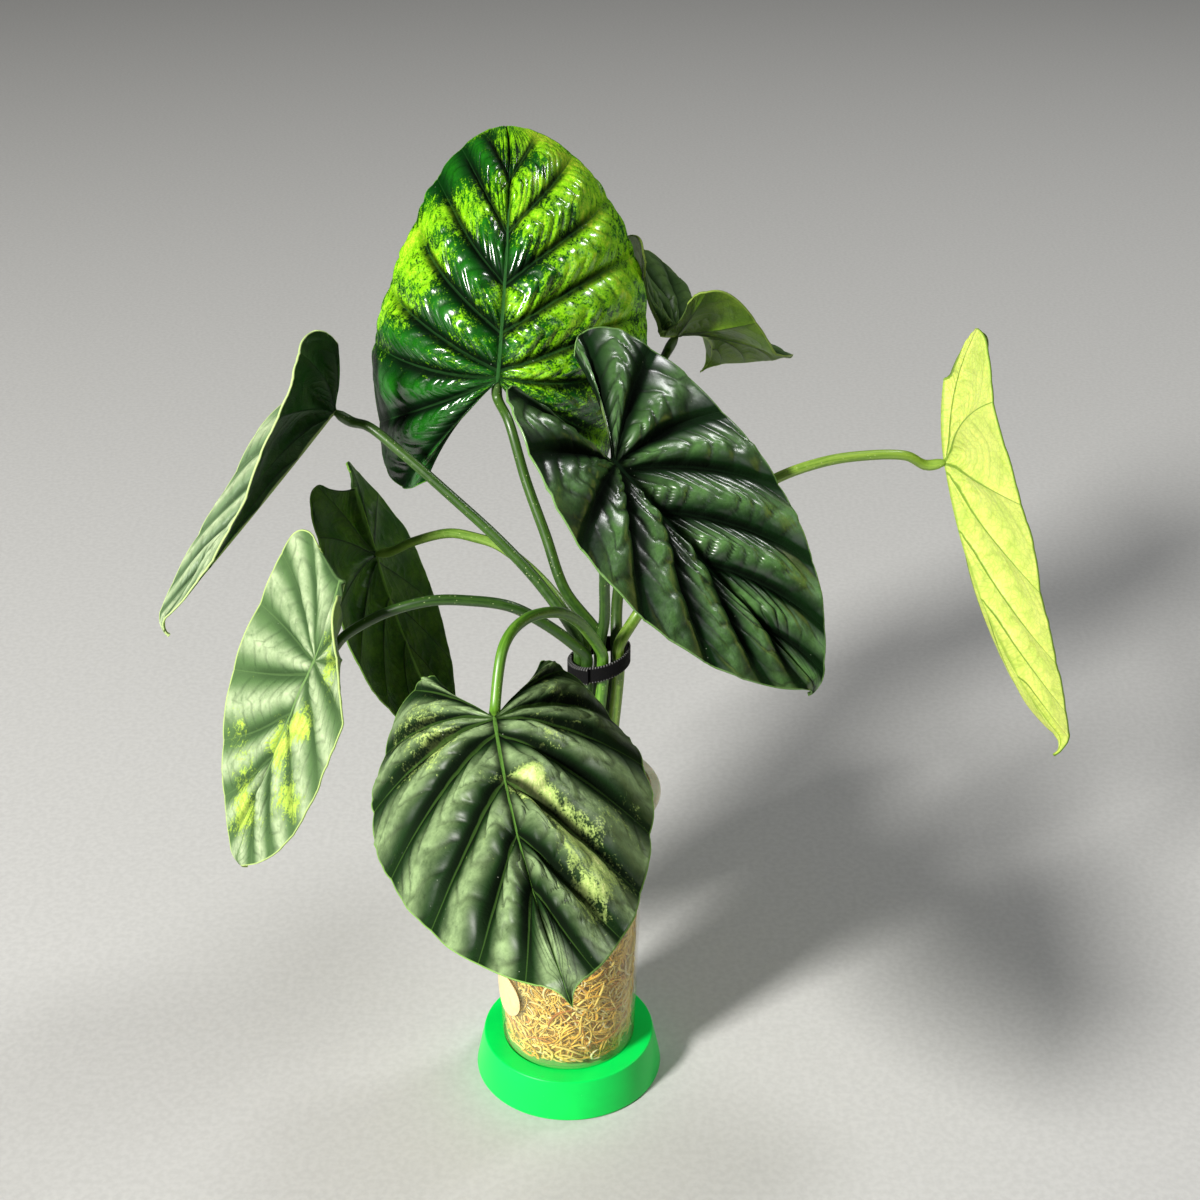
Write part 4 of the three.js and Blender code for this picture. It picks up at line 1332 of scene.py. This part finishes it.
def stand_material(settings):
    """Satin moulded plastic, with very faint scuffs."""
    colour = tuple(settings.stand_colour)
    material, graph, shader = new_material("Stand plastic", Specular_IOR_Level=0.3)
    place = graph.object_place()
    dark = tuple(c * 0.9 for c in colour)
    shades = use_group(graph, "Mottle", Vector=place, Scale=38.0, Light=colour, Dark=dark)
    specks = use_group(graph, "Specks", Vector=place, Scale=420.0, Size=0.1)
    x, y, z = graph.parts(place)
    layers = graph.noise(graph.vector(graph.times(x, 0.02), graph.times(y, 0.02), z), 1600.0, 2.0)
    graph.wire(
        shader, Roughness=graph.add(graph.times(shades["Height"], 0.16), 0.27),
        Base_Color=graph.layered(shades["Color"], (rgb(170, 226, 180), specks["Mask"], 0.3)),
        Normal=graph.bump(layers, 0.06, 0.4 * MM),
    )
    return material


def cup_materials():
    """Clear plastic for the wall and a milky one for the rolled rim."""
    clear, graph, shader = new_material(
        "Clear cup plastic", Base_Color=rgb(238, 226, 170), Coat_Weight=1.0, Coat_Roughness=0.05,
        Coat_IOR=1.6, Specular_IOR_Level=0.9,
    )
    place = graph.object_place()
    graph.wire(
        shader, Roughness=graph.step(0.35, 0.8, graph.noise(place, 60.0, 3.0), 0.08, 0.2),
        Alpha=graph.step(0.1, 0.95, graph.facing(0.35), 0.05, 0.32),
        Normal=graph.bump(graph.noise(place, 120.0, 2.0), 0.04, 0.5 * MM),
    )
    milky, graph, shader = new_material(
        "Milky rim plastic", Coat_Weight=0.3, Coat_Roughness=0.15, Subsurface_Weight=0.2,
        Subsurface_Scale=4.0 * MM,
    )
    shades = use_group(
        graph, "Mottle", Vector=graph.object_place(), Scale=90.0, Light=rgb(232, 230, 214),
        Dark=rgb(206, 202, 180),
    )
    graph.wire(
        shader, Base_Color=shades["Color"],
        Roughness=graph.add(graph.times(shades["Height"], 0.2), 0.2),
    )
    return clear, milky


def moss_materials():
    """The damp core and the golden strands."""
    core, graph, shader = new_material("Moss core")
    place = graph.object_place()
    tangle = graph.noise(place, 420.0, 5.0, 0.7, 1.5)
    patch = graph.noise(place, 45.0, 3.0)
    colour = graph.layered(
        rgb(170, 118, 34),
        (rgb(240, 198, 88), graph.step(0.32, 0.7, tangle), 1.0),
        (rgb(112, 84, 40), graph.step(0.45, 0.7, patch), 0.5),
    )
    graph.wire(
        shader, Base_Color=colour, Roughness=graph.step(0.2, 0.8, tangle, 0.6, 0.95),
        Normal=graph.bump(tangle, 0.8, 1.5 * MM),
    )

    strands, graph, shader = new_material("Moss strands", Sheen_Weight=0.2, Sheen_Roughness=0.4)
    place = graph.object_place()
    ramp = graph.node("ShaderNodeValToRGB")
    graph.wire(ramp, Fac=graph.attribute("strand_tone", "Fac"))
    stops = [
        (0.0, rgb(168, 98, 22)), (0.16, rgb(228, 154, 40)), (0.4, rgb(240, 194, 66)),
        (0.66, rgb(250, 222, 104)), (0.88, rgb(252, 238, 140)), (1.0, rgb(254, 248, 190)),
    ]
    bar = ramp.color_ramp
    while len(bar.elements) < len(stops):
        bar.elements.new(0.5)
    for element, (at, colour) in zip(bar.elements, stops):
        element.position = at
        element.color = (*colour, 1.0)
    damp = graph.noise(place, 32.0, 2.0)
    fuzz = graph.noise(place, 900.0, 2.0)
    colour = graph.layered(
        ramp.outputs["Color"],
        (rgb(120, 96, 48), graph.step(0.5, 0.75, damp), 0.45),
        (rgb(96, 62, 22), graph.step(0.62, 0.8, fuzz), 0.5),
    )
    graph.wire(
        shader, Base_Color=colour, Roughness=graph.add(graph.times(fuzz, 0.3), 0.45),
        Normal=graph.bump(fuzz, 0.3, 0.3 * MM),
    )
    return core, strands


def sticker_material(settings):
    """Cream paper with a fibrous tooth."""
    colour = tuple(settings.sticker_colour)
    material, graph, shader = new_material("Sticker paper")
    place = graph.object_place()
    fibre = graph.noise(place, 700.0, 4.0, 0.65, 0.8)
    stain = graph.noise(place, 110.0, 2.0)
    shade = graph.layered(
        tuple(c * 0.82 for c in colour),
        (colour, graph.step(0.3, 0.62, fibre), 1.0),
        (rgb(196, 170, 110), graph.step(0.55, 0.75, stain), 0.4),
    )
    graph.wire(
        shader, Base_Color=shade, Roughness=graph.step(0.2, 0.8, fibre, 0.5, 0.75),
        Normal=graph.bump(fibre, 0.3, 0.3 * MM),
    )
    return material


def strap_material(settings):
    """Black woven tape with fine ribs and a row of stitches at each edge."""
    colour = tuple(settings.strap_colour)
    material, graph, shader = new_material("Strap weave", Specular_IOR_Level=0.08)
    along, across, _ = graph.parts(graph.attribute("strap_run"))
    ribs, rows, dashes = (
        graph.math("SINE", graph.times(run, pitch))
        for run, pitch in ((along, 8200.0), (across, 7400.0), (along, 5200.0))
    )
    woven = graph.math("MULTIPLY_ADD", graph.times(ribs, rows), 0.5, 0.5)
    fluff = graph.noise(graph.object_place(), 1200.0, 3.0)
    rim = graph.step(3.1 * MM, 3.6 * MM, graph.math("ABSOLUTE", across))
    stitches = graph.times(rim, graph.step(0.2, 0.7, dashes))
    shade = graph.layered(
        tuple(c * 0.5 for c in colour),
        (tuple(min(1, c * 1.8) for c in colour), woven, 1.0),
        (rgb(60, 60, 64), graph.step(0.62, 0.76, fluff), 0.25),
        (rgb(150, 150, 148), stitches, 0.5),
    )
    height = graph.add(graph.times(woven, 0.7), graph.times(fluff, 0.6))
    graph.wire(
        shader, Base_Color=shade, Roughness=graph.step(0.0, 1.0, fluff, 0.5, 0.8),
        Normal=graph.bump(height, 0.6, 0.3 * MM),
    )
    return material


def floor_material():
    """A plain pale floor with a barely visible grain."""
    material, graph, shader = new_material("Pale floor")
    grain = graph.noise(graph.object_place(), 300.0, 3.0)
    graph.wire(
        shader, Roughness=graph.step(0.0, 1.0, grain, 0.7, 0.85),
        Base_Color=graph.mix(rgb(188, 188, 186), rgb(196, 196, 194), graph.step(0.3, 0.7, grain)),
    )
    return material


# Operators


# The stage, in metres: the floor, and each light's place, size and colour
FLOOR_SIZE = 6.0
FLOOR_DROP = 0.0002
LIGHTS = {
    "key": ((-2.05, -1.9, 2.0), 0.6, (1.0, 0.98, 0.94)),
    "fill": ((2.2, -1.0, 1.8), 1.4, (0.94, 0.97, 1.0)),
    "back": ((1.7, 1.2, 2.7), 0.7, (1.0, 1.0, 1.0)),
}
LIGHTS_AIM = (0.0, 0.0, 0.27)


class StageOperator(bpy.types.Operator):
    """Adds the floor, the lights and the camera."""

    bl_idname = "alocasia.stage"
    bl_label = "Stage"
    bl_options = {"REGISTER", "UNDO"}

    def execute(self, context):
        settings = context.scene.alocasia_stage
        bpy.ops.object.select_all(action="DESELECT")
        bpy.ops.mesh.primitive_plane_add(size=FLOOR_SIZE, location=(0, 0, -FLOOR_DROP))
        floor = context.active_object
        floor.name = "floor"
        bpy.ops.object.transform_apply(location=True, rotation=False, scale=False)
        floor.data.materials.append(floor_material())
        self.add_camera(context, settings)
        for name in LIGHTS:
            self.add_light(context, name, getattr(settings, name), *LIGHTS[name])
        world = bpy.data.worlds.new("Room")
        world.use_nodes = True
        context.scene.world = world
        backdrop = next(n for n in world.node_tree.nodes if n.type == "BACKGROUND")
        backdrop.inputs["Color"].default_value = (*rgb(226, 228, 230), 1.0)
        backdrop.inputs["Strength"].default_value = settings.sky
        context.scene.view_settings.view_transform = "Standard"
        return {"FINISHED"}

    def add_camera(self, context, settings):
        bpy.ops.object.camera_add(
            location=settings.camera_place, rotation=(settings.camera_tilt, 0, 0)
        )
        camera = context.active_object
        camera.data.lens = settings.lens
        camera.data.sensor_width = 36.0
        camera.data.clip_start = 0.01
        context.scene.camera = camera

    def add_light(self, context, name, power, place, size, colour):
        aim = Vector(LIGHTS_AIM) - Vector(place)
        bpy.ops.object.light_add(
            type="AREA", location=place, rotation=aim.to_track_quat("-Z", "Y").to_euler()
        )
        light = context.active_object
        light.name = name + "_light"
        light.data.shape = "DISK"
        light.data.size = size
        light.data.energy = power
        light.data.color = colour


class StandOperator(bpy.types.Operator):
    """Turns the round stand with its shallow dish."""

    bl_idname = "alocasia.stand"
    bl_label = "Stand"
    bl_options = {"REGISTER", "UNDO"}

    def execute(self, context):
        settings = context.scene.alocasia_pot
        foot, lip, height = STAND["foot"], STAND["lip"], STAND["height"]
        dish, depth, edge = STAND["dish"], STAND["depth"], STAND["edge"]
        profile = [
            (0, 0), (foot - edge - 1.5, 0), *rounded((foot - edge, edge), edge, -90, 8, 5),
            *rounded((lip - edge, height - edge), edge, 8, 90, 6),
            *rounded((dish - depth, height), depth, 0, -90, 6)[1:],
            (dish - depth - 2, height - depth), (0, height - depth),
        ]
        piece = turned_piece("stand_body", profile, settings.segments)
        finish_piece(piece, [stand_material(settings)], "stand", "stand")
        return {"FINISHED"}


class CupOperator(bpy.types.Operator):
    """Turns the clear cup, with its rolled milky rim as a second finish."""

    bl_idname = "alocasia.cup"
    bl_label = "Cup"
    bl_options = {"REGISTER", "UNDO"}

    def execute(self, context):
        settings = context.scene.alocasia_pot
        corner, wall, height = CUP["corner"], CUP["wall"], CUP["height"]
        shoulder_height, shoulder = CUP["shoulder_height"], CUP["shoulder"]
        rim, drop = CUP["rim"], CUP["rim_drop"]
        inside = cup_radius(corner) - corner
        profile = [
            (0, 0), (inside - 6, 0), *rounded((inside, corner), corner, -90, 0, 6),
            (cup_radius(shoulder_height), shoulder_height),
            *rounded((shoulder - 1.0, shoulder_height + 3.0), 1.0, -40, 0, 3),
            (shoulder + 0.3, height - drop), (rim - 0.6, height - drop),
            *rounded((rim - drop / 2, height - drop / 2), drop / 2, -70, 90, 8),
            (shoulder - wall + 0.6, height), (shoulder - wall + 0.2, height - 0.5),
            (shoulder - wall, shoulder_height + 3.0),
            (cup_radius(shoulder_height) - wall, shoulder_height + 0.5),
            *rounded((inside, corner), corner - wall, 0, -90, 6), (0, wall),
        ]
        placed = [(radius, z + CUP_FLOOR) for radius, z in profile]
        piece = turned_piece("cup_body", placed, settings.segments)
        clear, milky = cup_materials()
        finish_piece(piece, [clear, milky], "cup", "cup")
        line = (CUP_FLOOR + shoulder_height + 1.0) * MM
        for face in piece.data.polygons:
            face.material_index = int(face.center.z > line)
        return {"FINISHED"}


class MossOperator(bpy.types.Operator):
    """Fills the cup with a moss core, wall strands and top strands."""

    bl_idname = "alocasia.moss"
    bl_label = "Moss"
    bl_options = {"REGISTER", "UNDO"}

    def execute(self, context):
        settings = context.scene.alocasia_pot
        corner = CUP["corner"]
        inside = cup_radius(corner) - corner
        fill = CUP["height"] - MOSS_DROP
        clear = CUP["wall"] + 3.4
        top = cup_radius(fill) - clear
        profile = [
            (0, clear), (inside - 2, clear), (cup_radius(corner) - clear, corner + 1),
            (top, fill - 2.5),
        ]
        for part in (0.95, 0.8, 0.6, 0.4, 0.2, 0):
            profile.append((top * part, fill - 1.0 + MOSS_CROWN * (1 - part**2)))
        placed = [(radius, z + CUP_FLOOR) for radius, z in profile]
        piece = turned_piece("moss_core", placed, settings.segments // 2)
        core, strands = moss_materials()
        finish_piece(piece, [core], "moss", "moss")
        random = np.random.default_rng(MOSS_SEED)
        for name, count, make in (
            ("moss_wall_strands", settings.wall_strands, wall_strands),
            ("moss_top_strands", settings.top_strands, top_strands),
        ):
            paths, outward, thick = make(count, random)
            tones = np.clip(random.normal(0.6, 0.24, count), 0, 1)
            tuft = strand_mesh(name, paths, outward, thick, tones)
            finish_piece(tuft, [strands], "moss", "moss")
        return {"FINISHED"}


class StickerOperator(bpy.types.Operator):
    """Bends the blank round sticker to the cup."""

    bl_idname = "alocasia.sticker"
    bl_label = "Sticker"
    bl_options = {"REGISTER", "UNDO"}

    def execute(self, context):
        settings = context.scene.alocasia_pot
        bpy.ops.object.select_all(action="DESELECT")
        size, rings = STICKER["radius"] * MM, STICKER["rings"]
        bpy.ops.mesh.primitive_circle_add(vertices=72, radius=size, fill_type="NGON")
        piece = context.active_object
        piece.name = "sticker_disc"
        piece.data.name = "sticker_disc"
        bpy.ops.object.mode_set(mode="EDIT")
        bpy.ops.mesh.select_all(action="SELECT")
        for _ in range(rings - 1):
            bpy.ops.mesh.inset(thickness=size / rings)
        bpy.ops.mesh.select_all(action="SELECT")
        bpy.ops.object.mode_set(mode="OBJECT")
        for vertex in piece.data.vertices:
            across, high = vertex.co.x / MM, vertex.co.y / MM
            height = STICKER["height"] + high
            radius = cup_radius(height) + STICKER["lift"]
            around = math.radians(STICKER["azimuth"]) + across / radius
            vertex.co = Vector((
                radius * math.cos(around), radius * math.sin(around), height + CUP_FLOOR
            )) * MM
        modifier = piece.modifiers.new("paper", "SOLIDIFY")
        modifier.thickness = STICKER["thickness"] * MM
        modifier.offset = 1.0
        select_only(piece)
        bpy.ops.object.modifier_apply(modifier=modifier.name)
        turn_faces_out(piece)
        finish_piece(piece, [sticker_material(settings)], "sticker", "sticker")
        return {"FINISHED"}


class StrapOperator(bpy.types.Operator):
    """Wraps the woven strap round the stalks, with its end lapped over."""

    bl_idname = "alocasia.strap"
    bl_label = "Strap"
    bl_options = {"REGISTER", "UNDO"}

    def execute(self, context):
        settings = context.scene.alocasia_pot
        across = np.array(STRAP_ACROSS)
        turns, count, width = STRAP["turns"], STRAP["steps"], STRAP["width"]
        half = STRAP["thickness"] / 2
        start = math.radians(STRAP["start"])
        slope = math.tan(math.radians(STRAP["tilt"]))
        vertices = []
        runs = []
        for i in range(count + 1):
            u = i / count
            turned = u * turns * 2 * math.pi
            angle = start + turned
            lapped = smooth_step(1 / turns - 0.06, 1 / turns + 0.02, u)
            middle = STRAP["inner"] + half + lapped + half * smooth_step(0.97, 1.0, u)
            for sign in (-1, 1):
                for place in across[::sign]:
                    thin = 0.25 if abs(place) > 0.48 else 0.0
                    radius = middle + sign * half - sign * thin
                    x, y = radius * math.cos(angle), radius * math.sin(angle)
                    z = place * width + x * slope
                    vertices.append((x + STRAP["centre"][0], y, z + STRAP["centre"][2]))
                    runs.append((turned * STRAP["inner"] * MM, place * width * MM, 0))
        around = len(across) * 2
        faces = []
        for i in range(count):
            for j in range(around):
                k = (j + 1) % around
                a = i * around
                faces.append((a + j, a + around + j, a + around + k, a + k))
        faces.append(tuple(range(around)))
        faces.append(tuple(count * around + j for j in reversed(range(around))))
        piece = new_piece("strap_band", vertices, faces)
        point_attribute(piece.data, "strap_run", np.array(runs))
        turn_faces_out(piece)
        bpy.ops.object.shade_smooth_by_angle(angle=SMOOTH_ANGLE)
        finish_piece(piece, [strap_material(settings)], "strap", "strap")
        return {"FINISHED"}


class StalksOperator(bpy.types.Operator):
    """Grows the eight stalks from the moss, through the strap, to the blades."""

    bl_idname = "alocasia.stalks"
    bl_label = "Stalks"
    bl_options = {"REGISTER", "UNDO"}

    def execute(self, context):
        for leaf in LEAVES:
            piece = stalk_piece(leaf)
            finish_piece(piece, [stalk_material(leaf)], "stalk", leaf["name"] + "_stalk")
        return {"FINISHED"}


class BladesOperator(bpy.types.Operator):
    """Unfolds the eight quilted blades."""

    bl_idname = "alocasia.blades"
    bl_label = "Blades"
    bl_options = {"REGISTER", "UNDO"}

    def execute(self, context):
        settings = context.scene.alocasia_leaf
        for leaf in LEAVES:
            piece = blade_piece(leaf, settings)
            materials = [leaf_top_material(leaf), leaf_under_material(leaf)]
            finish_piece(piece, materials, "blade", leaf["name"] + "_blade")
        return {"FINISHED"}


OPERATORS = (
    StageOperator, StandOperator, CupOperator, MossOperator, StickerOperator, StrapOperator,
    StalksOperator, BladesOperator,
)


class AlocasiaPanel(bpy.types.Panel):
    """Lists the pieces and their settings."""

    bl_idname = "VIEW3D_PT_alocasia"
    bl_label = "Potted alocasia"
    bl_space_type = "VIEW_3D"
    bl_region_type = "UI"
    bl_category = "Alocasia"

    def draw(self, context):
        for operator in OPERATORS:
            self.layout.operator(operator.bl_idname)
        for group, names in (
            (context.scene.alocasia_pot, PotSettings.__annotations__),
            (context.scene.alocasia_leaf, LeafSettings.__annotations__),
            (context.scene.alocasia_stage, StageSettings.__annotations__),
        ):
            box = self.layout.box()
            for name in names:
                box.prop(group, name)


CLASSES = (PotSettings, LeafSettings, StageSettings, *OPERATORS, AlocasiaPanel)


def register():
    for item in CLASSES:
        bpy.utils.register_class(item)
    bpy.types.Scene.alocasia_pot = PointerProperty(type=PotSettings)
    bpy.types.Scene.alocasia_leaf = PointerProperty(type=LeafSettings)
    bpy.types.Scene.alocasia_stage = PointerProperty(type=StageSettings)


def unregister():
    del bpy.types.Scene.alocasia_stage
    del bpy.types.Scene.alocasia_leaf
    del bpy.types.Scene.alocasia_pot
    for item in reversed(CLASSES):
        bpy.utils.unregister_class(item)


def main():
    register()
    build_groups()
    bpy.ops.alocasia.stage()
    bpy.ops.alocasia.stand()
    bpy.ops.alocasia.cup()
    bpy.ops.alocasia.moss()
    bpy.ops.alocasia.sticker()
    bpy.ops.alocasia.strap()
    bpy.ops.alocasia.stalks()
    bpy.ops.alocasia.blades()


if __name__ == "__main__":
    main()
